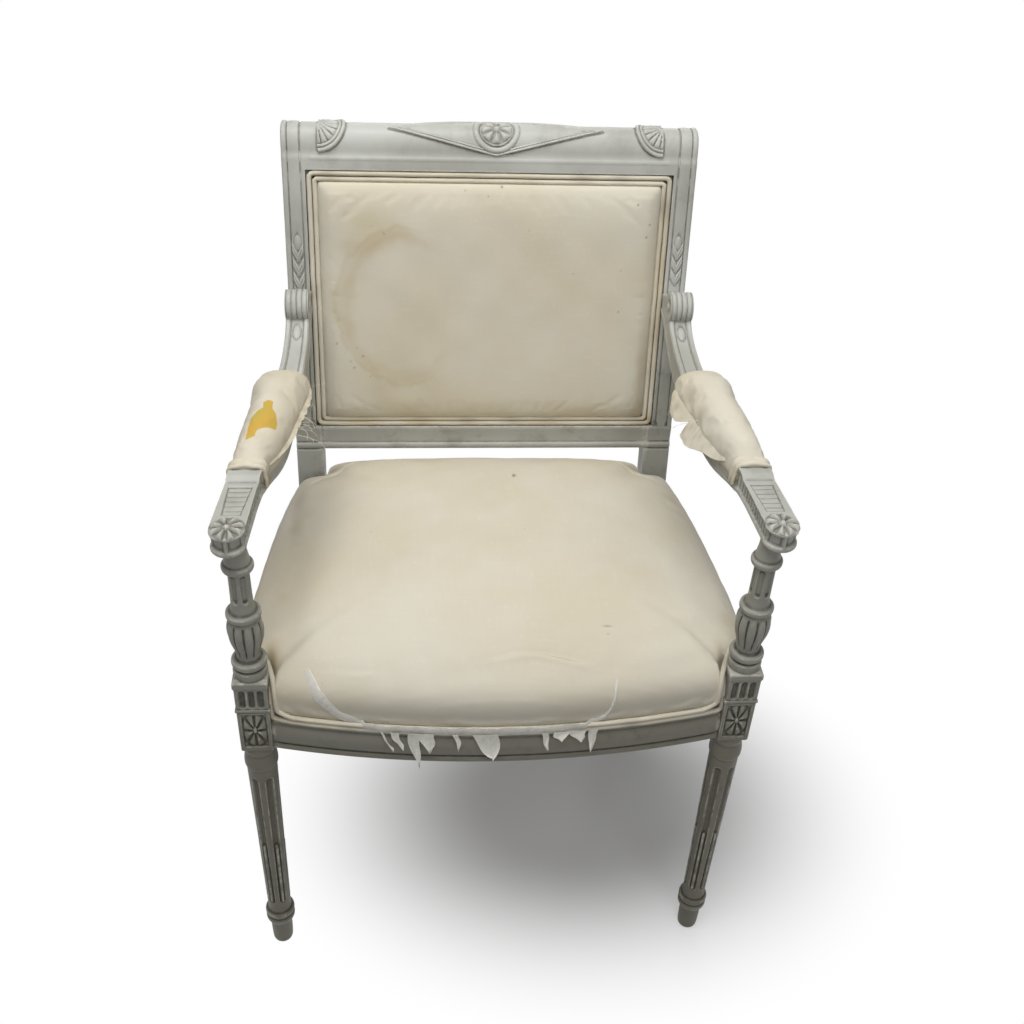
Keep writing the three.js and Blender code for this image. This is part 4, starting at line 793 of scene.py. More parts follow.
def arm_shells(side):
    """The sawn and carved arm with its scroll."""
    turn = np.linspace(0.04, math.pi / 2, 30)
    nose = ARM_NOSE_Y - ARM_NOSE_RADIUS * np.cos(turn)
    stations = np.concatenate([
        nose, np.arange(ARM_NOSE_Y + 0.9, ARM_BLOCK_END, 0.9), [ARM_BLOCK_END - 0.05, ARM_BLOCK_END + 0.05],
        np.arange(ARM_BLOCK_END + 4, PAD_END - 2, 4), [PAD_END - 0.05, PAD_END + 0.05],
        np.arange(PAD_END + 1.2, 398, 1.4),
    ])
    rows = []
    v, low = np.linspace(-1, 1, 47), np.linspace(1, -1, 13)
    share = 1 - np.linspace(0, 1, 27)[1:-1]
    for y in stations:
        middle = follow(ARM_MIDDLE, max(y, ARM_NOSE_Y))
        bottom = follow(ARM_BOTTOM, y)
        wide, sweep, run = follow(ARM_HALF, max(y, ARM_NOSE_Y)), math.pi / 2, y
        if y < ARM_NOSE_Y:
            sweep = math.acos(clamp((ARM_NOSE_Y - y) / ARM_NOSE_RADIUS))
            wide = ARM_NOSE_RADIUS * math.sin(sweep)
            run = ARM_NOSE_Y - ARM_NOSE_RADIUS * (math.pi / 2 - sweep)
        if y < ARM_BLOCK_END:
            top = BLOCK_FLAT
            lift = arm_top_relief(middle + v * wide, y, middle)
            out = arm_side_relief(share, run) * smooth_step(sweep, 0.0, 0.25)
        else:
            top, lift = PAD_FLAT, 0 * v
            out = 0.8 * dome(share - 0.1, 0.12) + 0.6 * dome(share - 0.88, 0.12) - 1.0
        if y > PAD_END:
            top = follow(ARM_RISE, y)
            lift = -3.0 * smooth_step(np.abs(v), 0.66, 0.5) - 2.4 * smooth_step(np.abs(v), 0.9, 1.0)
            if y < 336:
                lift = lift + 2.8 * dome(np.hypot(v / 0.34, (y - 326) / 8.5), 1.0)
        ring = [points_at(middle + v * wide, y, top + lift)]
        for end, start in ((1, top + lift[-1]), (-1, top + lift[0])):
            x = middle + end * wide + end * math.sin(sweep) * out
            ring.append(points_at(x, y - math.cos(sweep) * out, mix(bottom, start, share))[::end])
        ring.insert(2, points_at(middle + low * (wide - 0.6), y, bottom))
        rows.append(np.vstack(ring))
    rows = np.array(rows)
    rows[..., 1] = np.minimum(rows[..., 1], post_front_at(rows[..., 2]) - GAP)
    return on_side(joined(skin(rows), scroll_shell()), side)


def scroll_shell():
    """The reeded roll that ends the arm, with a small eye on each end face."""
    x = np.linspace(-SCROLL_HALF, SCROLL_HALF, 61)
    reed_half = (SCROLL_HALF - 1.2) / REEDS
    off = (x + SCROLL_HALF - 1.2) % (2 * reed_half) - reed_half
    inner = np.abs(x) < SCROLL_HALF - 1.2
    radius = SCROLL_RADIUS - 0.4 - np.where(inner, 2.6 * (1 - dome(off, reed_half * 1.04)), 0.5)
    eye = [
        (0.2, 1.9), (2.6, 1.5), (4.2, 0.5), (4.8, -0.2), (6.2, -0.6), (10, -0.2), (15.4, 0.3), (16.6, -0.2),
    ]
    profile = [(-SCROLL_HALF - out, r) for r, out in eye] + list(zip(x, radius))
    profile += [(SCROLL_HALF + out, r) for r, out in reversed(eye)]
    angle = 2 * math.pi * np.arange(96) / 96
    across, up = np.cos(angle), np.sin(angle)
    return skin([points_at(SCROLL_X + a, SCROLL_Y + r * across, SCROLL_Z + r * up) for a, r in profile])


# Back frame

def post_outer_at(h):
    return mix(POST_OUTER, CREST_HALF, np.maximum(0, h - LOWER_RAIL_START) / (CREST_START - LOWER_RAIL_START))


def stile_depth(t):
    """Depth of the moulded stile face at a distance t in from its outer edge."""
    outer = 1.3 - 1.3 * dome(t - 3.1, 3.1)
    flat = 0.25 + 0.7 * ((t - STILE_MIDDLE) / 6.4) ** 2
    face = np.where(t < 6.2, outer, np.where((t < FIELD_START) | (t >= FIELD_END), 2.2, flat))
    return np.where(t > 21.4, mix(2.2, 1.2, smooth_step(t, 21.4, 22.4)), face)


LOWER_RAIL_SHARES = [
    (0, 3.0), (0.035, 1.2), (0.08, 0.5), (0.14, 0.2), (0.19, 0.9), (0.225, 2.6), (0.25, 3.0), (0.28, 2.7),
    (0.36, 2.6), (0.5, 1.9), (0.64, 0.9), (0.7, 0.3), (0.76, 0.2), (0.8, 0.5), (1.0, 0.6),
]


def lower_rail_depth(h):
    rows = [(LOWER_RAIL_START + share * LOWER_RAIL_HEIGHT, depth) for share, depth in LOWER_RAIL_SHARES]
    return follow(rows, h, rounds=1)


HUSK_PAIRS = 3


def husks(x, h, low, high):
    """Height of a chain of paired leaves that climbs a stile and ends in one leaf."""
    total = 0 * x * h
    pitch = (high - low) / (HUSK_PAIRS + 0.6)
    for i in range(HUSK_PAIRS):
        foot = low + i * pitch
        for way in (-1, 1):
            a = way * math.radians(24)
            across, up = x - way * 3.2, h - foot - 0.62 * pitch
            u = across * math.cos(a) - up * math.sin(a)
            w = across * math.sin(a) + up * math.cos(a)
            leaf = dome(np.hypot(u / 3.3, w / (0.74 * pitch)), 1.0) * (1 - 0.35 * bell(u, 0.7))
            total = np.maximum(total, leaf)
    top = dome(np.hypot(x / 4.6, (h - high + 0.3 * pitch) / (0.55 * pitch)), 1.0)
    return np.maximum(total, top)


HUSK_HEIGHTS = {-1: (711, 772), 1: (721, 776)}


def post_shell(side, husk_rise):
    """Stile of the back that runs down as the raked rear leg."""
    low, high = [(z - RAKE_START) / math.cos(RAKE) for z in HUSK_HEIGHTS[side]]
    heights = np.concatenate([
        np.arange(CREST_START - GAP, high + 4, -3.0), np.arange(high + 4, low - 4, -0.8),
        np.arange(low - 4, LOWER_RAIL_TOP, -4.0), np.arange(LOWER_RAIL_TOP - 7, LOWER_RAIL_START - 4, -0.7),
        [STILE_FOOT],
    ])
    front = np.concatenate([np.linspace(0, 25.5, 58), [25.9, 26.1], np.linspace(26.6, POST_WIDTH, 5)])
    back = np.linspace(0, POST_WIDTH, 9)[::-1]
    share = np.linspace(0, POST_DEPTH, 8)[1:-1] / POST_DEPTH
    ease = 0.9 * bell(front, 0.6)
    rows = []
    for h in heights:
        outer = post_outer_at(h)
        if h < LOWER_RAIL_START:
            depth = 2.2 - 1.0 * smooth_step(h, LOWER_RAIL_START, LOWER_RAIL_START - 3) + 0 * front
        elif h < PANEL_LOW:
            depth = lower_rail_depth(h) + 0 * front
        else:
            raised = husk_rise * husks(-side * (front - STILE_MIDDLE), h, low, high)
            depth = stile_depth(front) - raised * ((front > FIELD_START) & (front < FIELD_END))
            depth = np.where(front > POST_WIDTH - REBATE_WIDTH, REBATE_DEPTH, depth)
        rear = np.where((back > POST_WIDTH - REBATE_WIDTH) & (h > PANEL_LOW), REAR_FLOOR, POST_DEPTH)
        rows.append(raked(np.vstack([
            points_at(outer - front, depth + ease, h),
            points_at(outer - POST_WIDTH, mix(depth[-1], POST_DEPTH, share), h),
            points_at(outer - back, rear, h),
            points_at(outer, mix(POST_DEPTH, depth[0] + 0.9, share), h),
        ])))
    rows += rear_leg_rows(front / POST_WIDTH, back / POST_WIDTH, share, ease)
    return on_side(skin(rows), side)


def rear_leg_rows(front, back, share, ease):
    """Rings of the plain square leg under the back, which splays to the rear and tapers."""
    knee, foot_size = LEG_HEIGHT - 8, 26
    start = raked(np.array([0, 0, STILE_FOOT]))[2]
    rows = []
    for z in np.concatenate([np.arange(start - 8, knee, -12.0), np.linspace(knee, 3, 26), [1.2, 0]]):
        down = clamp((knee - z) / knee)
        inset = 1.0 * (z < 0.5)
        deep = mix(POST_DEPTH, foot_size, down)
        middle = post_front_at(max(z, knee)) + POST_DEPTH / 2 + 58 * down ** 1.7
        face = 1.2 * (1 - down) * smooth_step(z, knee - 60, start)
        near, far = middle - deep / 2 + face + inset, middle + deep / 2 - inset
        outer = POST_OUTER - 1.875 * down - inset
        size = mix(POST_WIDTH, foot_size, down) - 2 * inset
        rows.append(np.vstack([
            points_at(outer - front * size, near + ease, z),
            points_at(outer - size, mix(near, far, share), z),
            points_at(outer - back * size, far, z),
            points_at(outer, mix(far, near + 0.9, share), z),
        ]))
    return rows


def lower_rail_shell():
    """The moulded rail under the back panel."""
    low, lip, high = LOWER_RAIL_START, PANEL_LOW, LOWER_RAIL_TOP
    section = [(lower_rail_depth(h), h) for h in np.arange(low, lip, 0.7)]
    section += [
        (0.7, lip - 0.5), (1.1, lip), (REBATE_DEPTH, lip + 0.2), (REBATE_DEPTH, high), (REAR_FLOOR, high),
        (REAR_FLOOR, lip), (POST_DEPTH - 1, lip), (POST_DEPTH, lip - 1), (POST_DEPTH, low + 1),
        (POST_DEPTH - 1, low), (5.5, low),
    ]
    d, h = np.array(section).T
    half = post_outer_at(h) - POST_WIDTH - GAP
    return skin([raked(points_at(share * half, d, h)) for share in np.linspace(-1, 1, 90)])


CREST_SHARES = [
    (0, -0.005), (0, 0.33), (0.004, 0.37), (0.018, 0.41), (0.034, 0.45), (0.04, 0.5), (0.038, 0.6),
    (0.055, 0.7), (0.1, 0.8), (0.165, 0.885), (0.26, 0.95), (0.38, 0.99), (0.5, 1.0), (0.66, 1.0),
    (0.82, 0.975), (0.95, 0.925), (1.02, 0.85), (1.035, 0.78), (1.02, 0.7), (0.97, 0.63), (0.88, 0.575),
    (0.8, 0.53), (0.765, 0.48), (0.76, 0.4), (0.76, -0.005),
]
LOZENGE_MIDDLE, LOZENGE_HALF, LOZENGE_TALL = 5, 125, 30
MEDALLION_RADIUS = 27
FAN_OUTER, FAN_WIDE, FAN_TALL = 196.5, 31.5, 34


def crest_relief(x, v, rise):
    """Height of the carving on the crest, v running down the front from its top edge."""
    off, down = x - LOZENGE_MIDDLE, v - 4.5
    inside = 1 - (np.abs(off) / LOZENGE_HALF + np.abs(down) / LOZENGE_TALL)
    edge = inside * LOZENGE_TALL * LOZENGE_HALF / math.hypot(LOZENGE_TALL, LOZENGE_HALF)
    plate = 3.1 * smooth_step(edge, 0, 0.8) - 1.3 * bell(edge - 3.1, 0.6) - 1.3 * smooth_step(edge, 4.0, 5.2)
    radius = np.hypot(off, down)
    rim = 3.3 * dome(radius - MEDALLION_RADIUS + 3.4, 3.6)
    rim = np.maximum(rim, 2.2 * dome(radius - MEDALLION_RADIUS + 9.4, 1.8))
    bowl = 0.3 + 3.2 * petals(off / 17.5, (down + 1.5) / 17.5, 8, math.pi / 2, 0.22)
    disc = np.where(radius < MEDALLION_RADIUS - 9.4, bowl, rim)
    total = np.where(edge > 0, plate, 0)
    total = np.where(radius < MEDALLION_RADIUS, np.maximum(disc, 0.4), total)
    for side in (-1, 1):
        a, b = (FAN_OUTER - side * x) / FAN_WIDE, (v + 1) / FAN_TALL
        rho, phi = np.hypot(a, b), np.arctan2(b, a)
        lobes = np.abs(around(phi, 18, 0.17)) / (math.pi / 18)
        tip = dome(np.maximum(rho - 0.6, 0), 0.14)
        leaf = 2.5 * dome(lobes, 0.9) ** 0.5 * tip * smooth_step(rho, 0.06, 0.3)
        arc = np.maximum(3.0 * dome(rho - 0.93, 0.08), 2.3 * dome(rho - 0.79, 0.06))
        fan = (0.2 + np.where(rho < 0.74, leaf, arc)) * (rho < 1.0) * (a > 0)
        shelf = 0.9 * dome(a, 0.05) * (b > 0) * (b < 0.97)
        total = np.maximum(total, np.where((a > -0.03) & (b < 1.0), np.maximum(fan, shelf), 0))
    return rise * total


def crest_shell(rise):
    """The rolled crest rail, carved along its front and top."""
    base = np.array([(a * CREST_DEPTH, CREST_START + b * CREST_HEIGHT) for a, b in CREST_SHARES])
    line = rounded(base, 1)
    top = int(np.argmax(line[:, 1]))
    front = evened(line[:top + 8], 0.8)
    rear = evened(line[top + 7:], 3.0)[1:]
    line = np.vstack([front, rear])
    under = evened([line[-1], [REBATE_DEPTH + 2, CREST_START], line[0]], 6.0)[1:-1]
    run = length_along(line)
    v = run[int(np.argmax(line[:, 1]))] - 9 - run
    tangent = np.gradient(line, axis=0)
    tangent /= np.linalg.norm(tangent, axis=1)[:, None]
    normal = np.stack([-tangent[:, 1], tangent[:, 0]], -1)
    edge = CREST_HALF - POST_WIDTH + REBATE_WIDTH
    xs = np.unique(np.concatenate([
        np.arange(-CREST_HALF, CREST_HALF + 0.1, 0.85), [-CREST_HALF + 0.4, CREST_HALF - 0.4],
        [-edge - 0.05, -edge + 0.05, edge - 0.05, edge + 0.05],
    ]))
    d, h = line.T
    ridge = 0.35 * dome(h - CREST_START - 21, 2.6) * (d < 6)
    level = (h <= CREST_START + 12) & (d > 20)
    eased = np.where(d > 30, smooth_step(h, CREST_START + 24, CREST_START + 34), 1)
    rows = []
    for x in xs:
        t = CREST_HALF - abs(x)
        inward = stile_depth(np.array(min(t, 23.0))) + 0.9 * math.exp(-(t / 0.6) ** 2)
        height = crest_relief(x, v, rise) * (t > 22) - inward + ridge * (abs(x) < 206)
        section = line + normal * (np.where(level, 0, height) * eased)[:, None]
        if abs(x) < edge:
            for facing, floor in ((d < 20, REBATE_DEPTH), (d > 20, REAR_FLOOR)):
                inside = facing & (h < PANEL_HIGH)
                section[inside] = np.stack([floor + 0 * h, h], -1)[inside]
        ring = np.vstack([section, under])
        rows.append(raked(points_at(x, ring[:, 0], ring[:, 1])))
    return skin(rows)


# Seat rails

RAIL_SHARES = [
    (0.2, 0), (0.1, 0.012), (0.045, 0.045), (0.02, 0.09), (0.02, 0.15), (0.05, 0.19), (0.11, 0.215),
    (0.12, 0.24), (0.09, 0.265), (0.05, 0.31), (0.02, 0.4), (0, 0.54), (0.01, 0.65), (0.05, 0.76),
    (0.09, 0.83), (0.15, 0.885), (0.17, 0.91), (0.17, 1.0),
]


def front_rail_face(x):
    radius = (FRONT_HALF * FRONT_HALF + FRONT_BOW * FRONT_BOW) / (2 * FRONT_BOW)
    return FRONT_Y - (np.sqrt(radius * radius - x * x) - (radius - FRONT_BOW))


def side_rail_face(y):
    share = (y - BLOCK_HALF) / (SEAT_DEPTH - BLOCK_HALF)
    return mix(SIDE_RAIL_OUTER, POST_OUTER - 2.5, share)


def rail_section():
    """Closed section of (inset, height): moulded face, tacking rebate, plain back."""
    face_height = RAIL_HEIGHT - RAIL_REBATE
    face = evened(rounded([(a * RAIL_THICKNESS, b * face_height) for a, b in RAIL_SHARES], 1), 0.9)
    rest = [
        (TACKING, face_height), (TACKING, RAIL_HEIGHT - 0.6), (TACKING + 0.6, RAIL_HEIGHT),
        (RAIL_THICKNESS - 0.8, RAIL_HEIGHT), (RAIL_THICKNESS, RAIL_HEIGHT - 0.8), (RAIL_THICKNESS, 0.8),
        (RAIL_THICKNESS - 0.8, 0),
    ]
    return np.vstack([face, rest])


def rail_shells():
    section = rail_section()
    inset, z = section[:, 0], LEG_HEIGHT + section[:, 1]
    front = [points_at(x, front_rail_face(x) + inset, z) for x in np.linspace(-FRONT_HALF, FRONT_HALF, 140)]
    side = []
    for share in np.linspace(0, 1, 70):
        y = mix(BLOCK_HALF, post_front_at(z) - GAP, share)
        side.append(points_at(side_rail_face(y) - inset, y, z))
    inner = POST_INNER - GAP
    rear = [points_at(x, REAR_RAIL_BACK - inset, z) for x in np.linspace(-inner, inner, 60)]
    return {
        "front_seat_rail": skin(front), "right_seat_rail": skin(side),
        "left_seat_rail": on_side(skin(side), -1), "rear_seat_rail": skin(rear),
    }


# Upholstery forms

LAYERS = 2 * GAP + 1.2
SEAT_SHOULDER, SEAT_REAR_LIFT, SEAT_CROWN = RAIL_TOP + 51, 25, COVER_TOP - 1.5

# Rows of the seat's form: how far in, bulge, rise to the shoulder, rise to the crown, roundness
SEAT_RINGS = [
    (0, 0.25, 0, 0, 0), (0, 0.55, 0.03, 0, 0), (0, 0.9, 0.3, 0, 0), (0, 1.05, 0.66, 0, 0),
    (0.015, 1.0, 0.92, 0, 0.02), (0.08, 0.55, 1, 0.14, 0.4), (0.28, 0, 1, 0.57, 1), (0.58, 0, 1, 0.88, 1),
    (0.86, 0, 1, 1, 1), (0.995, 0, 1, 1, 1),
]


def seat_outline(step=5.0):
    """Right half of the seat's outline as (x, y, front share, side share) rows."""
    notch, notch_y = FRONT_HALF - LEDGE - LAYERS, BLOCK_HALF + LEDGE + LAYERS
    post_x, post_y = POST_INNER - LAYERS, post_front_at(RAIL_TOP) - LAYERS
    rear_y, front_y = REAR_RAIL_BACK - TACKING, front_rail_face(notch) + TACKING
    front_side, rear_side = side_rail_face(notch_y) - TACKING, side_rail_face(post_y) - TACKING
    rows = [(x, front_rail_face(x) + TACKING, 1, 0) for x in np.arange(0, notch, step)]
    rows.append((notch, front_y, 1, 0))
    rows += [(notch, y, 0, 0) for y in np.arange(front_y + step, notch_y, step)]
    rows += [(x, notch_y, 0, 0) for x in np.arange(notch, front_side - 2, step)]
    rows += [(side_rail_face(y) - TACKING, y, 0, 1) for y in np.linspace(notch_y, post_y, int(320 / step))]
    rows += [(x, post_y, 0, 0) for x in np.arange(rear_side - step, post_x, -step)]
    rows += [(post_x, y, 0, 0) for y in np.arange(post_y, rear_y, step)]
    rows += [(x, rear_y, 0, 0) for x in np.arange(post_x, 0, -step)] + [(0, rear_y, 0, 0)]
    return np.array(rows, float)


def whole_outline(step=5.0):
    half = seat_outline(step)
    return np.vstack([half, half[-2:0:-1] * np.array([-1, 1, 1, 1])])


def outset(outline, amount):
    """The outline moved out along its own smoothed normals."""
    ahead, behind = np.roll(outline, -1, 0)[:, :2], np.roll(outline, 1, 0)[:, :2]
    way = ahead - behind
    normal = np.stack([way[:, 1], -way[:, 0]], -1)
    normal /= np.maximum(np.linalg.norm(normal, axis=1), 1e-6)[:, None]
    moved = outline.copy()
    moved[:, :2] += normal * amount
    return moved


def seat_oval(widest, angle):
    power = 5.0
    across = 1.16 ** power * np.abs(np.cos(angle)) ** power
    along = 1.44 ** power * np.abs(np.sin(angle)) ** power
    return widest / (across + along) ** (1 / power)


def seat_rings(grow, levels=44):
    """Rings of the seat form from its foot on the rails to its crown."""
    start = RAIL_TOP + 1.8
    outline = outset(whole_outline(), grow)
    x0, y0, front, side = outline.T
    widest = np.hypot(x0, y0 - SEAT_MIDDLE).max()
    along = clamp((y0 - BLOCK_HALF) / (SEAT_DEPTH - BLOCK_HALF))
    swell = side * 23 * (1 - 0.55 * np.abs(2 * along - 1) ** 3)
    middle = 1 - 0.8 * np.minimum(1, (x0 / POST_OUTER) ** 4)
    rear = np.minimum(1, np.maximum(0, (y0 - 0.45 * SEAT_DEPTH) / (0.6 * SEAT_DEPTH)))
    shoulder_z = SEAT_SHOULDER + front * 6 * middle + SEAT_REAR_LIFT * rear * middle
    rings = []
    for inward, bulge, shoulder, crown, fill in zip(*columns_of(SEAT_RINGS, levels)):
        x = x0 + np.sign(x0) * swell * bulge
        y = y0 - front * (8 * bulge - 13 * shoulder ** 3)
        reach, angle = np.hypot(x, y - SEAT_MIDDLE), np.arctan2(y - SEAT_MIDDLE, x)
        radius = mix(reach, np.minimum(reach, seat_oval(widest, angle)), fill) * (1 - inward)
        z = mix(mix(start, shoulder_z, shoulder), SEAT_CROWN, crown) + grow * (shoulder > 0.9)
        rings.append(points_at(radius * np.cos(angle), SEAT_MIDDLE + radius * np.sin(angle), z))
    return np.array(rings)


def puffed(piece, voxel, pressure, cap, held, smooth=6):
    """Evens a closed form's mesh and lets cloth under pressure settle, within cap millimetres."""
    remesh = piece.modifiers.new("even", "REMESH")
    remesh.mode, remesh.voxel_size = "VOXEL", voxel * MILLIMETRE
    relax = piece.modifiers.new("relax", "SMOOTH")
    relax.factor, relax.iterations = 0.5, smooth
    swap_mesh(piece, evaluated_mesh(piece))
    mesh = piece.data
    start = millimetres_of(mesh)
    keep = piece.vertex_groups.new(name="held")
    keep.add([int(i) for i in np.nonzero(held(start))[0]], 1.0, "REPLACE")
    cloth = piece.modifiers.new("cloth", "CLOTH")
    cloth.settings.effector_weights.gravity = 0
    for key, value in {
        "quality": 4, "use_pressure": True, "uniform_pressure_force": pressure, "shrink_min": -0.015,
        "tension_stiffness": 12, "compression_stiffness": 12, "vertex_group_mass": "held",
    }.items():
        setattr(cloth.settings, key, value)
    cloth.point_cache.frame_start, cloth.point_cache.frame_end = 1, 20
    for number in range(1, 21):
        bpy.context.scene.frame_set(number)
    moved = evaluated_mesh(piece)
    end = millimetres_of(moved)
    bpy.data.meshes.remove(moved)
    piece.modifiers.clear()
    bpy.context.scene.frame_set(1)
    shift = end - start
    length = np.linalg.norm(shift, axis=1)
    shift *= np.minimum(1, cap / np.maximum(length, 1e-6))[:, None]
    mesh.vertices.foreach_set("co", to_metres(start + shift).ravel())
    mesh.update()
    finer = piece.modifiers.new("finer", "SUBSURF")
    finer.levels = finer.render_levels = 1
    swap_mesh(piece, evaluated_mesh(piece))
    piece.data.shade_smooth()
    return piece


def swap_mesh(piece, mesh):
    """Gives the piece a finished mesh and drops its modifiers."""
    old, name = piece.data, piece.name
    material = old.materials[0]
    piece.modifiers.clear()
    piece.data = mesh
    bpy.data.meshes.remove(old)
    mesh.name = name
    mesh.materials.clear()
    mesh.materials.append(material)


def move_points(piece, change):
    """Moves the piece's points by what a function of their millimetre places returns."""
    points = millimetres_of(piece.data)
    piece.data.vertices.foreach_set("co", to_metres(points + change(points)).ravel())
    piece.data.update()


def spot(points, centre, radii):
    """1 in the middle of a soft spot, falling to 0 outside it."""
    away = (points - np.array(centre, float)) / np.array(radii, float)
    return np.exp(-np.einsum("ij,ij->i", away, away))


def spots(points, rows):
    """Soft spots together: rows of centre, radii and strength."""
    return sum(strength * spot(points, centre, radii) for centre, radii, strength in rows)


def soiled(piece, stain, soil, ochre=None):
    """Writes the stain, soil and ochre marks that the cloth finish reads; on the seat the soil mark also
    holds painted shade behind the front crease.
    """
    write_attribute(piece.data, "stain", clamp(stain))
    write_attribute(piece.data, "soil", clamp(soil))
    write_attribute(piece.data, "ochre", clamp(ochre if ochre is not None else 0 * stain))


# Lines swept by nodes: welts, springs and threads

def node_tree(name, inputs, nodes, settings, values, links):
    """A node group from tables of its inputs, nodes, what is set on them, and links between them."""
    tree = bpy.data.node_groups.new(name, "GeometryNodeTree")
    for label, kind, default in inputs + [("Material", "Material", None)]:
        item = tree.interface.new_socket(name=label, in_out="INPUT", socket_type=f"NodeSocket{kind}")
        if default is not None:
            item.default_value = default
    tree.interface.new_socket(name="Mesh", in_out="OUTPUT", socket_type="NodeSocketGeometry")
    nodes = {**nodes, "given": "NodeGroupInput", "result": "NodeGroupOutput"}
    nodes.update(real="GeometryNodeRealizeInstances", finish="GeometryNodeSetMaterial")
    made = {key: tree.nodes.new(kind) for key, kind in nodes.items()}
    for key, setting, value in settings:
        setattr(made[key], setting, value)
    for key, socket, value in values:
        made[key].inputs[socket].default_value = value
    for source, output, target, entry in links + [
        ("real", 0, "finish", 0), ("given", "Material", "finish", "Material"), ("finish", 0, "result", 0),
    ]:
        tree.links.new(made[source].outputs[output], made[target].inputs[entry])
    return tree


def sweep_tree():
    """Node group that sweeps a round section along the edges of a mesh."""
    inputs = [
        ("Path", "Geometry", None), ("Radius", "Float", 0.003), ("Step", "Float", 0.003),
        ("Waver", "Float", 0.0), ("Wave Size", "Float", 0.03), ("Sides", "Int", 14),
    ]
    nodes = {
        "curve": "GeometryNodeMeshToCurve", "even": "GeometryNodeResampleCurve",
        "frequency": "ShaderNodeMath", "wander": "ShaderNodeTexNoise",
        "centred": "ShaderNodeVectorMath", "scaled": "ShaderNodeVectorMath",
        "shifted": "GeometryNodeSetPosition", "circle": "GeometryNodeCurvePrimitiveCircle",
        "swept": "GeometryNodeCurveToMesh", "smooth": "GeometryNodeSetShadeSmooth",
    }
    settings = [
        ("even", "mode", "LENGTH"), ("centred", "operation", "SUBTRACT"), ("scaled", "operation", "SCALE"),
        ("frequency", "operation", "DIVIDE"),
    ]
    values = [("centred", 1, (0.5, 0.5, 0.5)), ("frequency", 0, 1.0), ("swept", "Fill Caps", True)]
    return node_tree("swept_cord", inputs, nodes, settings, values, [
        ("given", "Path", "curve", 0), ("curve", 0, "even", "Curve"), ("given", "Step", "even", "Length"),
        ("even", 0, "shifted", "Geometry"), ("given", "Wave Size", "frequency", 1),
        ("frequency", 0, "wander", "Scale"), ("wander", "Color", "centred", 0), ("centred", 0, "scaled", 0),
        ("given", "Waver", "scaled", "Scale"), ("scaled", 0, "shifted", "Offset"),
        ("given", "Radius", "circle", "Radius"), ("given", "Sides", "circle", "Resolution"),
        ("shifted", 0, "swept", "Curve"), ("circle", "Curve", "swept", "Profile Curve"),
        ("swept", 0, "smooth", 0), ("smooth", 0, "real", 0),
    ])


def run_tree(piece, tree, values):
    """Adds the node group with its named inputs, keeps the resulting mesh and drops the modifier."""
    nodes = piece.modifiers.new("nodes", "NODES")
    nodes.node_group = tree
    for item in tree.interface.items_tree:
        if item.item_type == "SOCKET" and item.in_out == "INPUT" and item.name in values:
            nodes[item.identifier] = values[item.name]
    swap_mesh(piece, evaluated_mesh(piece))
    return piece


def swept_piece(name, paths, material, radius, step=3.0, waver=0.0, wave=30.0, sides=14, closed=False):
    """One mesh of round cords along several paths of millimetre points."""
    points, edges, start = [], [], 0
    for path in paths:
        points.append(np.asarray(path, float))
        count = len(path)
        edges += [(start + i, start + i + 1) for i in range(count - 1)]
        if closed:
            edges.append((start + count - 1, start))
        start += count
    mesh = bpy.data.meshes.new(name)
    mesh.from_pydata(to_metres(np.vstack(points)).tolist(), edges, [])
    piece = new_piece(name, mesh, material)
    tree = bpy.data.node_groups.get("swept_cord") or sweep_tree()
    return run_tree(piece, tree, {
        "Radius": radius * MILLIMETRE, "Step": step * MILLIMETRE, "Waver": waver * MILLIMETRE,
        "Wave Size": wave * MILLIMETRE, "Sides": sides, "Material": material,
    })


# Property groups: the sizes and colours that a user would change

class ArmchairPaint(bpy.types.PropertyGroup):
    paint: bpy.props.FloatVectorProperty(
        name="Paint", description="Main colour of the paint", subtype="COLOR", size=3, min=0, max=1,
        default=linear(192, 193, 186)[:3])
    paint_dark: bpy.props.FloatVectorProperty(
        name="Darker Paint", description="Colour of the dull patches", subtype="COLOR", size=3, min=0, max=1,
        default=linear(172, 172, 163)[:3])
    dirt: bpy.props.FloatProperty(
        name="Dirt", description="How dark the hollows are", default=0.85, min=0, max=1, subtype="FACTOR")
    wear: bpy.props.FloatProperty(
        name="Wear", description="How far the edges are rubbed and chipped", default=0.8, min=0, max=1,
        subtype="FACTOR")


class ArmchairCarving(bpy.types.PropertyGroup):
    flute_depth: bpy.props.FloatProperty(
        name="Flute Depth", description="Depth of the leg flutes in millimetres", default=3.0, min=0.5, max=4)
    crest_rise: bpy.props.FloatProperty(
        name="Crest Carving", description="Strength of the carving on the crest", default=1.0, min=0, max=1.5)
    husk_rise: bpy.props.FloatProperty(
        name="Husk Height", description="Height of the leaves on the stiles in millimetres", default=2.2,
        min=0, max=4)


class ArmchairCloth(bpy.types.PropertyGroup):
    cloth: bpy.props.FloatVectorProperty(
        name="Cloth", description="Colour of the lining cloth", subtype="COLOR", size=3, min=0, max=1,
        default=linear(219, 213, 197)[:3])
    thread: bpy.props.FloatProperty(
        name="Thread", description="Pitch of the weave in millimetres", default=0.8, min=0.3, max=3)
    stains: bpy.props.FloatProperty(
        name="Stains", description="Strength of the stains", default=0.8, min=0, max=1, subtype="FACTOR")
    puff: bpy.props.FloatProperty(
        name="Puff", description="Pressure that fills the cushions", default=4.0, min=0, max=10)
    welt_radius: bpy.props.FloatProperty(
        name="Welt Cord", description="Radius of one welt cord in millimetres", default=3.0, min=1, max=5)


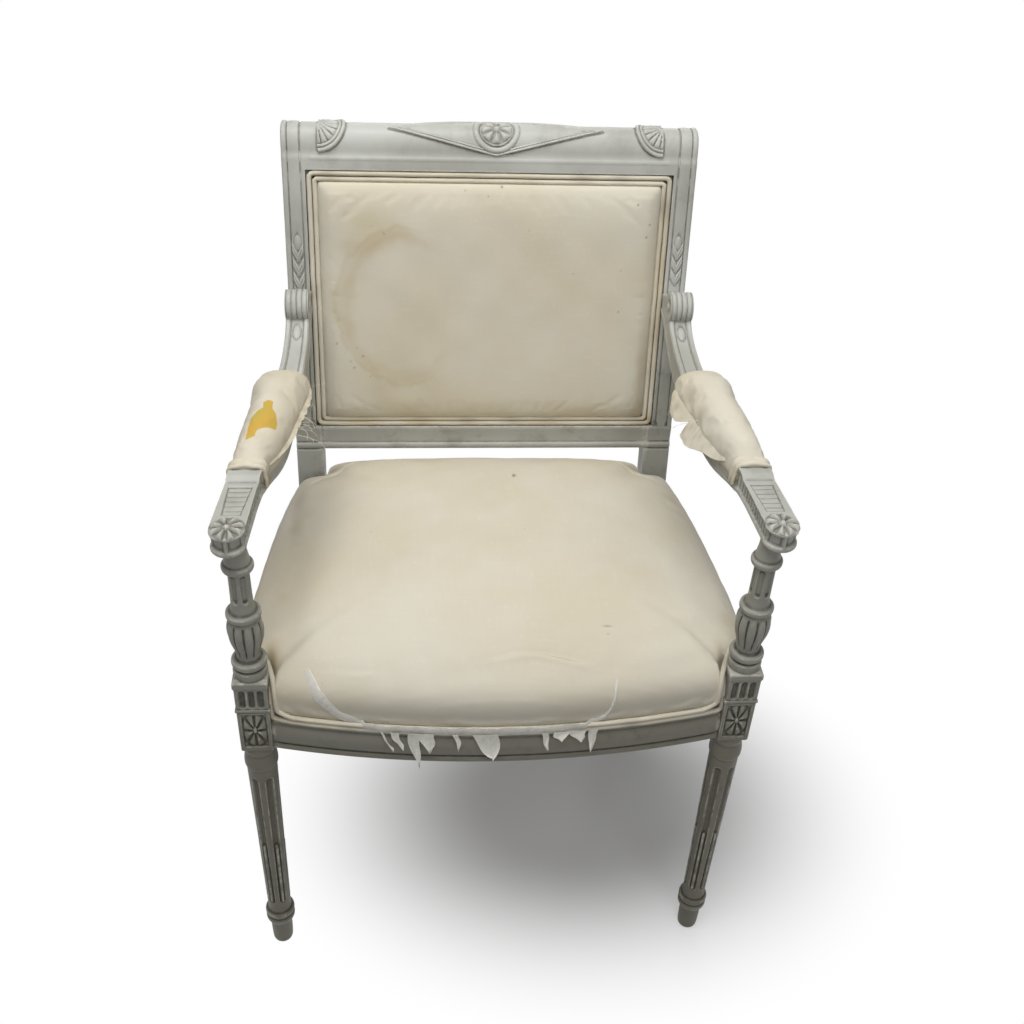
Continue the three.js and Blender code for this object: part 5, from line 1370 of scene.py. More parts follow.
class ArmchairStage(bpy.types.PropertyGroup):
    floor: bpy.props.FloatVectorProperty(
        name="Floor", description="Colour of the floor", subtype="COLOR", size=3, min=0, max=1,
        default=(0.3, 0.3, 0.3))
    key_power: bpy.props.FloatProperty(
        name="Key Lamp", description="Power of the main lamp in watts", default=25.5, min=0)
    sky: bpy.props.FloatProperty(
        name="Sky", description="Strength of the light from all round", default=0.2, min=0, max=2)


def finish_named(name, maker, *given):
    """The named material, made the first time that it is asked for."""
    return bpy.data.materials.get(name) or maker(*given)


def paint_material():
    return finish_named("worn_paint", paint_finish, bpy.context.scene.armchair_paint)


def cloth_material():
    return finish_named("lining_cloth", cloth_finish, bpy.context.scene.armchair_cloth)


def jute_material():
    return finish_named("woven_jute", jute_finish)


def carved_piece(node, shell, ending="carved", plain=None):
    """A painted piece of wood with its carving marks, which stands for a node."""
    piece = make(f"{node}_{ending}", shell, paint_material())
    carve_marks(piece.data, plain)
    settle(piece, "painted_wood", node)


# Operators

class StageOperator(bpy.types.Operator):
    """Makes the floor, the lamps, the surrounding light and the camera"""
    bl_idname = "armchair.stage"
    bl_label = "Stage"

    def execute(self, context):
        sizes = context.scene.armchair_stage
        self.make_floor(sizes)
        self.make_sky(context.scene, sizes)
        self.make_lamps(sizes)
        self.make_camera(context.scene)
        context.scene.view_settings.view_transform = "Standard"
        return {"FINISHED"}

    @staticmethod
    def make_floor(sizes):
        """A floor that the camera sees as white with the chair's shadow on it. Away from the chair it glows,
        painted light that fades the shadow to white along an ellipse; light that bounces onto the chair comes
        from the darker floor colour.
        """
        f = Finish("studio_floor")
        camera = f.node("ShaderNodeLightPath", out="Is Camera Ray")
        glossy = f.node("ShaderNodeLightPath", out="Is Glossy Ray")
        seen = (camera + glossy).step(0.0, 1.0)
        # painted light: the camera-seen floor glows more with distance from a point beside the chair, which
        # sets where the cast shadow fades out
        x, y = (f.axis("X") - 0.15) * 0.86, (f.axis("Y") + 0.01) * 1.1
        away = (x * x + y * y) ** 0.5
        glow_share = away.step(0.11, 0.41)
        dull = f.node("ShaderNodeBsdfDiffuse", sockets={"Color": tuple(sizes.floor) + (1,)})
        white = f.node("ShaderNodeBsdfDiffuse", sockets={"Color": (0.71, 0.71, 0.71, 1)})
        glow = f.node("ShaderNodeEmission", sockets={"Color": (1, 1, 1, 1), "Strength": 1.0})
        lit = f.node("ShaderNodeMixShader", sockets={0: 0.02 + 0.98 * glow_share, 1: white, 2: glow})
        both = f.node("ShaderNodeMixShader", sockets={0: seen, 1: dull, 2: lit})
        f.node("ShaderNodeOutputMaterial", sockets={"Surface": both})
        ground = 40000.0 * np.array([(-1, -1, 0), (1, -1, 0), (1, 1, 0), (-1, 1, 0)])
        make("studio_floor", (ground, [[0, 1, 2, 3]]), f.material)

    @staticmethod
    def make_sky(scene, sizes):
        """White where the camera looks, and a dim light from all round for the chair."""
        scene.world = bpy.data.worlds.new("studio_sky")
        f = Finish("studio_sky", scene.world)
        camera = f.node("ShaderNodeLightPath", out="Is Camera Ray")
        through = f.node("ShaderNodeLightPath", out="Is Transmission Ray")
        seen = f.node("ShaderNodeMath", {"operation": "MAXIMUM"}, {0: camera, 1: through})
        dim, white = [
            f.node("ShaderNodeBackground", sockets={"Color": (1, 1, 1, 1), "Strength": strength})
            for strength in (sizes.sky, 1.0)
        ]
        chosen = f.node("ShaderNodeMixShader", sockets={0: seen, 1: dim, 2: white})
        f.node("ShaderNodeOutputWorld", sockets={"Surface": chosen})

    @staticmethod
    def make_lamps(sizes):
        lamps = [
            ("key_lamp", (-0.22, -0.36, 2.3), 1.1, sizes.key_power),
            ("fill_lamp", (0.3, -1.8, 2.0), 1.5, sizes.key_power * 0.46),
            ("back_lamp", (0.3, 2.2, 1.5), 1.5, sizes.key_power * 0.45),
        ]
        for name, place, width, power in lamps:
            data = bpy.data.lights.new(name, "AREA")
            data.size, data.energy = width, power
            lamp = bpy.data.objects.new(name, data)
            lamp.location = place
            aim = Vector((0, 0, 0.45)) - Vector(place)
            lamp.rotation_mode = "QUATERNION"
            lamp.rotation_quaternion = aim.to_track_quat("-Z", "Y")
            bpy.context.scene.collection.objects.link(lamp)

    @staticmethod
    def make_camera(scene):
        yaw, pitch, roll, focal = 5.692, 37.412, 3.077, 1200
        frame_width, sensor = 1024, 36.0
        data = bpy.data.cameras.new("camera")
        data.sensor_width, data.lens = sensor, focal / frame_width * sensor
        camera = bpy.data.objects.new("camera", data)
        camera.location = (-0.08778, -0.90636 + LEG_AXIS_Y, 1.37784)
        a, e, r = map(math.radians, (yaw, pitch, roll))
        ahead = Vector((math.sin(a) * math.cos(e), math.cos(a) * math.cos(e), -math.sin(e)))
        level = Vector((math.cos(a), -math.sin(a), 0))
        above = level.cross(ahead)
        right = level * math.cos(r) + above * math.sin(r)
        up = above * math.cos(r) - level * math.sin(r)
        camera.rotation_mode = "QUATERNION"
        camera.rotation_quaternion = Matrix((right, up, -ahead)).transposed().to_quaternion()
        scene.collection.objects.link(camera)
        scene.camera = camera


class FrontLegsOperator(bpy.types.Operator):
    """Makes the two turned and fluted front legs with their carved blocks"""
    bl_idname = "armchair.front_legs"
    bl_label = "Front Legs"

    def execute(self, context):
        for side, label in SIDES:
            carved_piece(f"{label}_front_leg", front_leg_shells(side, context.scene.armchair_carving))
        return {"FINISHED"}


class ArmSupportsOperator(bpy.types.Operator):
    """Makes the two turned arm supports with flutes and gadroons"""
    bl_idname = "armchair.arm_supports"
    bl_label = "Arm Supports"

    def execute(self, context):
        relief = support_relief(context.scene.armchair_carving.flute_depth)
        points, faces = turned(SUPPORT_SHARES, SUPPORT_RADIUS, SUPPORT_HEIGHT, 0.8, 150, relief, BLOCK_TOP)
        for side, label in SIDES:
            carved_piece(f"{label}_arm_support", (points + np.array([side * LEG_X, 0, 0]), faces))
        return {"FINISHED"}


class ArmsOperator(bpy.types.Operator):
    """Makes the two carved arms with their reeded scrolls"""
    bl_idname = "armchair.arms"
    bl_label = "Arms"

    def execute(self, context):
        for side, label in SIDES:
            carved_piece(f"{label}_arm", arm_shells(side))
        return {"FINISHED"}


class BackFrameOperator(bpy.types.Operator):
    """Makes the stiles with their rear legs, the crest rail and the lower rail"""
    bl_idname = "armchair.back_frame"
    bl_label = "Back Frame"

    def execute(self, context):
        carving = context.scene.armchair_carving
        parts = [(f"{label}_back_post", post_shell(side, carving.husk_rise)) for side, label in SIDES]
        parts += [("crest_rail", crest_shell(carving.crest_rise)), ("back_lower_rail", lower_rail_shell())]
        for node, shell in parts:
            carved_piece(node, shell, plain=self.plain)
        return {"FINISHED"}

    @staticmethod
    def plain(points):
        """The joint between stiles and crest, and the low step along the crest's front."""
        h = unraked(points)[:, 2]
        return (np.abs(h - CREST_START) < 4.5) | (np.abs(h - CREST_START - 22) < 6)


class SeatRailsOperator(bpy.types.Operator):
    """Makes the four moulded seat rails"""
    bl_idname = "armchair.seat_rails"
    bl_label = "Seat Rails"

    def execute(self, context):
        for node, shell in rail_shells().items():
            carved_piece(node, shell, "moulded")
        return {"FINISHED"}


class SeatOperator(bpy.types.Operator):
    """Makes the stuffed seat under its lining cloth"""
    bl_idname = "armchair.seat"
    bl_label = "Seat"

    def execute(self, context):
        x, y = outset(whole_outline(), -0.5).T[:2]
        rings = np.concatenate([points_at(x, y, REBATE_FLOOR + 1.5)[None], seat_rings(0.5)])
        piece = make("seat_cushion", skin(rings), cloth_material())
        puffed(piece, 5.5, context.scene.armchair_cloth.puff, 2.6, lambda p: p[:, 2] < RAIL_TOP + 6, 3)
        move_points(piece, self.creases)
        points = millimetres_of(piece.data)
        soiled(piece, self.stains(points), self.soil(points))
        settle(piece, "calico", "seat_cover", "seat_stuffing")
        return {"FINISHED"}

    @staticmethod
    def crease_line(points, least, gain):
        """How far each point lies behind the front crease, and how strong the crease is there."""
        x, y, _ = points.T
        line = -6 + 3 * np.sin(x / 19) + 3 * np.sin(x / 43 + 1)
        strength = clamp(least + gain * noise(points * np.array([1, 0, 0]), 60, 4))
        return y - line, strength * bell(x + 30, 150, 4)

    def creases(self, points):
        """Low wrinkles along the front edge, a gather at each rear corner and slight unevenness."""
        x, y, z = points.T
        top = smooth_step(z, 455, 480)
        behind, broken = self.crease_line(points, 0.35, 1.3)
        fold = 1.5 * bell(behind, 2.4) - 1.1 * bell(behind - 5, 3.0)
        lift = fold * broken * top + 0.5 * noise(points, 46, 5) * top
        for side in (-1, 1):
            across = (side * x - 176) * 0.5 + (y - 338) * 0.87
            along = (side * x - 186) * 0.87 - (y - 330) * 0.5
            lift = lift - 3.0 * bell(across, 3.2) * bell(along, 30) * (z > 450)
        return points_at(0, 0, lift)

    @staticmethod
    def stains(points):
        total = spots(points, [
            ((-242, 24, 465), (10, 18, 34), 1.0), ((-238, 100, 478), (18, 60, 30), 0.6),
            ((-228, 240, 478), (24, 70, 30), 0.55), ((230, 276, 478), (26, 42, 28), 0.9),
            ((258, 62, 470), (16, 40, 30), 0.6), ((240, 20, 462), (10, 20, 30), 0.7),
            ((0, 352, 496), (180, 10, 30), 0.6), ((60, 110, 520), (90, 60, 40), 0.22),
            ((-70, 220, 520), (90, 70, 40), 0.2),
        ])
        ragged = 0.75 + 0.3 * noise(points, 60, 9) + 0.2 * noise(points, 22, 10)
        return smooth_step(points[:, 2], 432, 418) * 0.3 + total * clamp(ragged)

    def soil(self, points):
        total = spots(points, [
            ((-230, 292, 478), (16, 44, 30), 0.42), ((-232, 220, 476), (12, 50, 30), 0.3),
            ((-244, 22, 462), (7, 14, 30), 0.9), ((243, 20, 462), (6, 14, 30), 0.6),
            ((-188, 342, 478), (26, 8, 24), 0.7), ((188, 342, 478), (26, 8, 24), 0.7),
            ((31, 286, 515), (2.2, 4.5, 14), 1.6), ((-181, 281, 495), (9, 1.3, 14), 0.8),
            ((115, 32, 500), (7, 1.5, 14), 0.8),
        ])
        behind, broken = self.crease_line(points, 0.2, 1)
        z = points[:, 2]
        # The line just behind the front crease is painted shade, the crease's own shadow.
        return smooth_step(z, 440, 418) * 0.25 + total + 0.6 * bell(behind - 3, 1.5) * broken * (z > 462)


class SeatWeltsOperator(bpy.types.Operator):
    """Makes the double welts along the seat rails and up beside the leg blocks"""
    bl_idname = "armchair.seat_welts"
    bl_label = "Seat Welts"

    def execute(self, context):
        radius = context.scene.armchair_cloth.welt_radius
        inset = TACKING - LAYERS - radius
        middle = REBATE_FLOOR + GAP + 2 * radius + GAP
        reach, rear = FRONT_HALF - LEDGE - GAP - radius, POST_INNER - GAP
        side_path = np.array([
            (side_rail_face(y) - inset, y, middle)
            for y in np.linspace(BLOCK_HALF + LEDGE + GAP, post_front_at(middle) - GAP, 60)
        ])
        front_path = [(x, front_rail_face(x) + inset, middle) for x in np.linspace(-reach, reach, 90)]
        paths = {
            "front_seat_welt": front_path, "right_seat_welt": side_path,
            "left_seat_welt": side_path * MIRROR,
            "rear_seat_welt": [(x, REAR_RAIL_BACK - inset, middle) for x in np.linspace(-rear, rear, 60)],
        }
        for node, path in paths.items():
            cords = [np.array(path) + np.array([0, 0, way * radius]) for way in (-1, 1)]
            if node == "front_seat_welt":
                cords = [self.turned_up(cord, way) for cord, way in zip(cords, (-1, 1))]
            piece = swept_piece(f"{node}_cords", cords, cloth_material(), radius * 0.94, waver=0.9)
            points = millimetres_of(piece.data)
            soiled(piece, 0.4 * (0.55 + 0.35 * noise(points, 70, 21)), 0.22 + 0.3 * noise(points, 45, 22))
            settle(piece, "calico", node)
        return {"FINISHED"}

    @staticmethod
    def turned_up(cord, way):
        """The cord's ends turned up beside the leg blocks to the top of the cushion's corner."""
        rise = np.array([
            (0, 0, 0), (2.4, 0, 3), (3.0, 0.4, 10), (3.2, 2, 26), (4.4, 9, 40), (8.5, 18, 52), (13, 25, 58),
        ]) - np.array([2.0 + 2.9 * way, 1.2 * way, -3.0 * way])
        left, right = cord[0] + rise * MIRROR + [0, 0, 3], cord[-1] + rise + [0, 0, 3]
        return evened(rounded(np.vstack([left[::-1], cord[3:-3], right]), 2), 3.0)


class BackCushionOperator(bpy.types.Operator):
    """Makes the stuffed inner panel of the back under its lining cloth"""
    bl_idname = "armchair.back_cushion"
    bl_label = "Back Cushion"

    def execute(self, context):
        welt_width = 11.6
        rows = [
            (-1.0, REBATE_DEPTH - 3.05), (-0.4, 7.4), (0, 4.6), (0.8, 1.9), (2.2, -0.2), (4.6, -2.2),
            (9, -4.6), (18, -7.2), (34, -9.2), (60, -10.3), (95, -10.6), (130, -10.7),
        ]
        rings = [panel_ring(welt_width + inset, depth, 3.4) for inset, depth in zip(*columns_of(rows, 40))]
        piece = make("back_cushion", skin(raked(np.array(rings))), cloth_material())
        puffed(piece, 3.6, context.scene.armchair_cloth.puff, 0.45, self.held, 4)
        points = unraked(millimetres_of(piece.data))
        lift = 0.5 * noise(points, 70, 12) * smooth_step(points[:, 1], 4, -6)
        way = raked(np.array([0.0, 1.0, 0.0])) - raked(np.zeros(3))
        move_points(piece, lambda _: lift[:, None] * way)
        soiled(piece, self.stains(points), self.soil(points))
        settle(piece, "calico", "back_inner_cover", "back_stuffing")
        return {"FINISHED"}

    @staticmethod
    def held(points):
        """The back of the pad and the edge that the welt presses down."""
        x, d, h = unraked(points).T
        inset = np.minimum(panel_half_at(h) - np.abs(x), np.minimum(h - PANEL_LOW, PANEL_HIGH - h))
        return (d > 3.0) | (inset < 24)

    @staticmethod
    def stains(points):
        """A wide faint ring where something soaked in, a tan foot and a few darker drips."""
        x, _, h = points.T
        away = np.hypot((x + 100) / 73, (h - 298) / 84)
        away = away + 0.07 * noise(points, 70, 31) + 0.03 * noise(points, 22, 32)
        left = smooth_step(x, 10, -110)
        ring = 0.62 * bell(away - 1.0, 0.13) + 0.35 * left * bell(away - 1.13, 0.035)
        total = ring * (0.25 + 0.75 * left) + spots(points[:, [0, 2]], [
            ((-140, 400), (30, 20), 0.6), ((-120, 372), (50, 12), 0.35), ((-165, 372), (14, 12), 0.5),
            ((-110, 196), (70, 18), 0.45), ((192, 215), (9, 55), 0.85), ((190, 330), (8, 80), 0.4),
            ((60, 272), (26, 8), 0.25),
        ])
        foot = smooth_step(h, 186 + 8 * np.sin(x / 33), 166 + 5 * np.sin(x / 21)) * smooth_step(x, -170, -120)
        blotch = 0.85 + 0.25 * noise(points, 35, 33)
        return (0.85 * total + 0.5 * foot) * blotch + 0.14 * smooth_step(x, -60, -170)

    @staticmethod
    def soil(points):
        x, _, h = points.T
        total = 0.22 * smooth_step(h, 200, 150) + 0.3 * smooth_step(np.abs(x), 168, 197)
        specks = [
            (-175, 265), (-167, 229), (-152, 236), (-144, 210), (-183, 251), (-163, 221), (-172, 240),
            (-159, 247), (171, 423), (187, 400), (184, 385), (157, 294), (156, 345), (-30, 436), (12, 440),
            (-4, 430),
        ]
        sizes = [(1.0, 1.0), (1.3, 1.3), (1.6, 1.6)]
        return total + spots(points[:, [0, 2]], [(at, sizes[i % 3], 1.0) for i, at in enumerate(specks)])


def panel_half_at(h):
    return post_outer_at(h) - POST_WIDTH + REBATE_WIDTH


def panel_ring(inset, depth, least=0.6):
    """Rounded outline of the back panel, set in from its rebate, at one depth."""
    radius = max(9 - inset, least)
    low, high = PANEL_LOW + inset, PANEL_HIGH - inset
    turning = [(1, low), (1, high), (-1, high), (-1, low)]
    starts = [
        (side * (panel_half_at(h) - inset - radius), h + (radius if h == low else -radius))
        for side, h in turning
    ]
    ring = []
    for index, ((side, h), (x, z)) in enumerate(zip(turning, starts)):
        for turn in np.linspace(0, math.pi / 2, 7):
            angle = (index - 1) * math.pi / 2 + turn
            ring.append((x + radius * math.cos(angle), z + radius * math.sin(angle)))
        ahead_x, ahead_z = starts[(index + 1) % 4]
        for share in np.linspace(0, 1, 62)[1:-1]:
            if index % 2 == 0:
                z_here = mix(z, ahead_z, share)
                ring.append((side * (panel_half_at(z_here) - inset), z_here))
            else:
                ring.append((mix(x, ahead_x, share), h))
    x, z = np.array(ring).T
    return points_at(x, float(depth), z)


class BackWeltOperator(bpy.types.Operator):
    """Makes the double welt round the back panel"""
    bl_idname = "armchair.back_welt"
    bl_label = "Back Welt"

    def execute(self, context):
        radius = context.scene.armchair_cloth.welt_radius
        depth = REBATE_DEPTH - 4.55 - radius
        cords = [raked(panel_ring(inset, depth, 2.0)) for inset in (radius + 0.8, 3 * radius + 1.3)]
        piece = swept_piece("back_welt_cords", cords, cloth_material(), radius * 0.96, waver=0.8, closed=True)
        points = unraked(millimetres_of(piece.data))
        low = smooth_step(points[:, 2], 170, 140)
        stain = 0.18 + 0.4 * low + 0.35 * smooth_step(points[:, 0], 150, 200)
        soiled(piece, stain * (0.8 + 0.7 * noise(points, 80, 41)), 0.2 + 0.25 * noise(points, 50, 42))
        settle(piece, "calico", "back_welt")
        return {"FINISHED"}


class BackCoverOperator(bpy.types.Operator):
    """Makes the flat outer cover of the back with its turned hem"""
    bl_idname = "armchair.back_cover"
    bl_label = "Outer Back Cover"

    def execute(self, context):
        knots = [
            (0.8, 0.0), (0.8, 1.3), (2.0, 2.0), (5.0, 1.9), (7.5, 1.3), (9.0, 0.9), (30, 1.2), (70, 1.7),
            (150, 2.0),
        ]
        insets = evened(rounded(knots, 2), 2.2)
        rings = [raked(panel_ring(inset, REAR_FLOOR + GAP + out, 1.2)) for inset, out in insets]
        piece = make("back_outer_cover_cloth", skin(rings), cloth_material())
        move_points(piece, lambda p: points_at(0, 0.5 * noise(p, 120, 51), 0))
        points = unraked(millimetres_of(piece.data))
        soiled(piece, 0.18 + 0.14 * noise(points, 130, 52), 0.1 + 0.1 * noise(points, 90, 53))
        settle(piece, "calico", "back_outer_cover")
        return {"FINISHED"}


# Rows of an arm pad as shares of its length, half width and crown
PAD_SHARES = [
    (0, 0.66, 0.42), (0.04, 0.70, 0.56), (0.12, 0.78, 0.78), (0.26, 0.90, 0.97), (0.5, 0.98, 1.03),
    (0.74, 1.03, 1.0), (0.9, 1.0, 0.88), (0.97, 0.94, 0.7), (1, 0.86, 0.5),
]
PAD_WIDTH, PAD_CROWN, PAD_SKIRT = 52, 31, 12
PAD_LAP = 6
OCHRE_EDGE = [
    (-259, 106), (-258, 124), (-256, 138), (-251, 148), (-245, 153), (-246, 163), (-241, 167), (-236, 165),
    (-236, 154), (-232, 147), (-230, 136), (-231, 126), (-238, 124), (-244, 121), (-249, 117), (-250, 110),
]


def pad_station(y):
    """Middle, half width and crown height of the pad at a place along the arm."""
    share = (y - ARM_BLOCK_END) / (PAD_END - ARM_BLOCK_END)
    half = follow(PAD_SHARES, share) * PAD_WIDTH / 2
    crown = follow(PAD_SHARES, share, 2) * PAD_CROWN
    fuller = 4.0 * smooth_step(y, 180, 236)
    return follow(ARM_MIDDLE, y) + fuller, half + fuller, crown


class ArmPadsOperator(bpy.types.Operator):
    """Makes the stuffed arm pads with their turned front edge"""
    bl_idname = "armchair.arm_pads"
    bl_label = "Arm Pads"

    def execute(self, context):
        seat = PAD_FLAT + GAP
        for side, label in SIDES:
            piece = make(f"{label}_arm_pad", on_side(self.pad_shell(seat), side), cloth_material())
            puffed(piece, 3.2, context.scene.armchair_cloth.puff, 2.0, lambda p: p[:, 2] < seat + 1, 3)
            move_points(piece, lambda p: self.wrinkles(p, side))
            edge = make(f"{label}_pad_edge", on_side(self.hem_shell(seat), side), cloth_material())
            piece = self.merged(piece, edge)
            points = millimetres_of(piece.data)
            _, y, z = points.T
            stain = 0.30 * smooth_step(y, 120, 84) + 0.35 * smooth_step(z, 668, 655)
            soil = 0.85 * spot(points, (side * 240, 84, 660), (7, 7, 9)) + 0.15 + 0.2 * noise(points, 35, 63)
            ochre = self.ochre(points) if side < 0 else None
            soiled(piece, stain + 0.2 * noise(points, 50, 61 + side), soil, ochre)
            settle(piece, "calico", f"{label}_arm_cover", f"{label}_arm_stuffing")
        return {"FINISHED"}

    @staticmethod
    def arch(middle, y, seat, half, crown, count, wide_power, tall_power):
        """An arch over the arm from its outer to its inner side."""
        turn = np.linspace(0, math.pi, count)
        wide = np.sign(np.cos(turn)) * np.abs(np.cos(turn)) ** wide_power * half
        return points_at(middle + wide, y, seat + np.sin(turn) ** tall_power * crown)

    def pad_shell(self, seat):
        rings = []
        for y in np.linspace(ARM_BLOCK_END - PAD_LAP, PAD_END - 0.6, 62):
            middle, half, crown = pad_station(y)
            wood = follow(ARM_HALF, y) + 1.4
            skirt = [
                (middle + end * max(wood, mix(half, wood, share)), y, seat - share * PAD_SKIRT)
                for end, share in ((-1, 0.5), (-1, 1.0), (1, 1.0), (1, 0.5))
            ]
            rings.append(np.vstack([self.arch(middle, y, seat, half, crown, 33, 0.72, 0.8), skirt]))
        return skin(rings)

    def hem_shell(self, seat):
        """The folded edge that crosses the front of the pad and runs down both sides."""
        rings = []
        wood, front = follow(ARM_HALF, ARM_BLOCK_END + 2), ARM_BLOCK_END - PAD_LAP
        folds = [
            (0.2, 0.2), (-0.7, 0.8), (-0.5, 1.9), (0.8, 2.7), (2.8, 2.4), (4.0, 1.2), (4.7, 0.9), (5.6, 2.2),
            (7.6, 2.8), (9.6, 2.2), (10.8, 1.2), (11.0, 0.2),
        ]
        for dy, out in folds:
            y = front - 0.6 + dy
            middle, half, crown = pad_station(front + max(dy, 0))
            arch = self.arch(middle, y, seat, half + out, 0.9 * crown + out, 41, 0.6, 0.6)
            arch[:, 1] += 0.7 * np.sin(arch[:, 0] / 3.1)
            legs = {}
            for end in (1, -1):
                legs[end] = [
                    (middle + end * max(wood + 1.6 + out, (half + out) * mix(1, 0.9, s)), y,
                     seat - s * (PAD_SKIRT + 1)) for s in (0.35, 0.7, 1.0)
                ]
            rings.append(np.vstack([legs[1][::-1], arch, legs[-1]]))
        rings = np.array(rings)
        centre = rings.mean((0, 1)) * np.array([1, 0, 0]) + np.array([0, 0, seat])
        inner = (rings[::-1] - centre) * np.array([0.95, 1, 0.93]) + centre
        return skin(np.swapaxes(np.concatenate([rings, inner]), 0, 1))

    @staticmethod
    def wrinkles(points, side):
        x, y, z = points.T
        middle = follow(ARM_MIDDLE, y) * side
        off = np.abs(x) - np.abs(middle)
        fold = bell(y - 222 - 0.5 * off, 5) * smooth_step(off, 4, 20)
        lift = -2.2 * fold + 0.35 * noise(points, 60, 71 + side)
        return points_at(0.2 * noise(points, 40, 73) * (z > 672), 0, lift * (z > 674))

    @staticmethod
    def ochre(points):
        """A torn yellow patch on top of the left pad: a half at its edge, more inside."""
        x, y, z = points.T
        away = np.full(len(x), 1e9)
        inside = np.zeros(len(x), bool)
        for (ax, ay), (bx, by) in zip(OCHRE_EDGE, OCHRE_EDGE[1:] + OCHRE_EDGE[:1]):
            share = clamp(((x - ax) * (bx - ax) + (y - ay) * (by - ay)) / ((bx - ax) ** 2 + (by - ay) ** 2))
            away = np.minimum(away, np.hypot(x - mix(ax, bx, share), y - mix(ay, by, share)))
            crosses = (ay > y) != (by > y)
            cut = ax + (y - ay) * (bx - ax) / (by - ay if by != ay else 1)
            inside ^= crosses & (x < cut)
        return np.where(z > 676, 0.5 + np.where(inside, away, -away) / 8, 0)

    @staticmethod
    def merged(piece, other):
        """Both meshes as one object."""
        name, shells = piece.name, []
        for part in (piece, other):
            mesh = part.data
            shells.append((millimetres_of(mesh), [list(face.vertices) for face in mesh.polygons]))
            bpy.data.objects.remove(part)
            bpy.data.meshes.remove(mesh)
        return make(name, joined(*shells), cloth_material(), 60)


def grid_shares(rows, columns):
    """Shares of 0 to 1 along the columns and down the rows of a grid."""
    return np.meshgrid(np.linspace(0, 1, columns), np.linspace(0, 1, rows))


def two_sided(grid, thickness):
    """A thin two-sided cloth over a grid of points."""
    down, across = np.gradient(grid, axis=0), np.gradient(grid, axis=1)
    normal = np.cross(across, down)
    normal /= np.maximum(np.linalg.norm(normal, axis=-1), 1e-6)[..., None]
    near, far = grid + normal * thickness / 2, grid - normal * thickness / 2
    return skin(np.concatenate([near, far[:, ::-1]], axis=1))


def fray(u, seed, teeth=17):
    """Ragged edge length of about 0.6 to 1 along a torn side."""
    knots = np.random.default_rng(seed).uniform(0.55, 1.0, teeth)
    knots[[0, -1]] *= 0.55
    return np.interp(u, np.linspace(0, 1, teeth), knots)


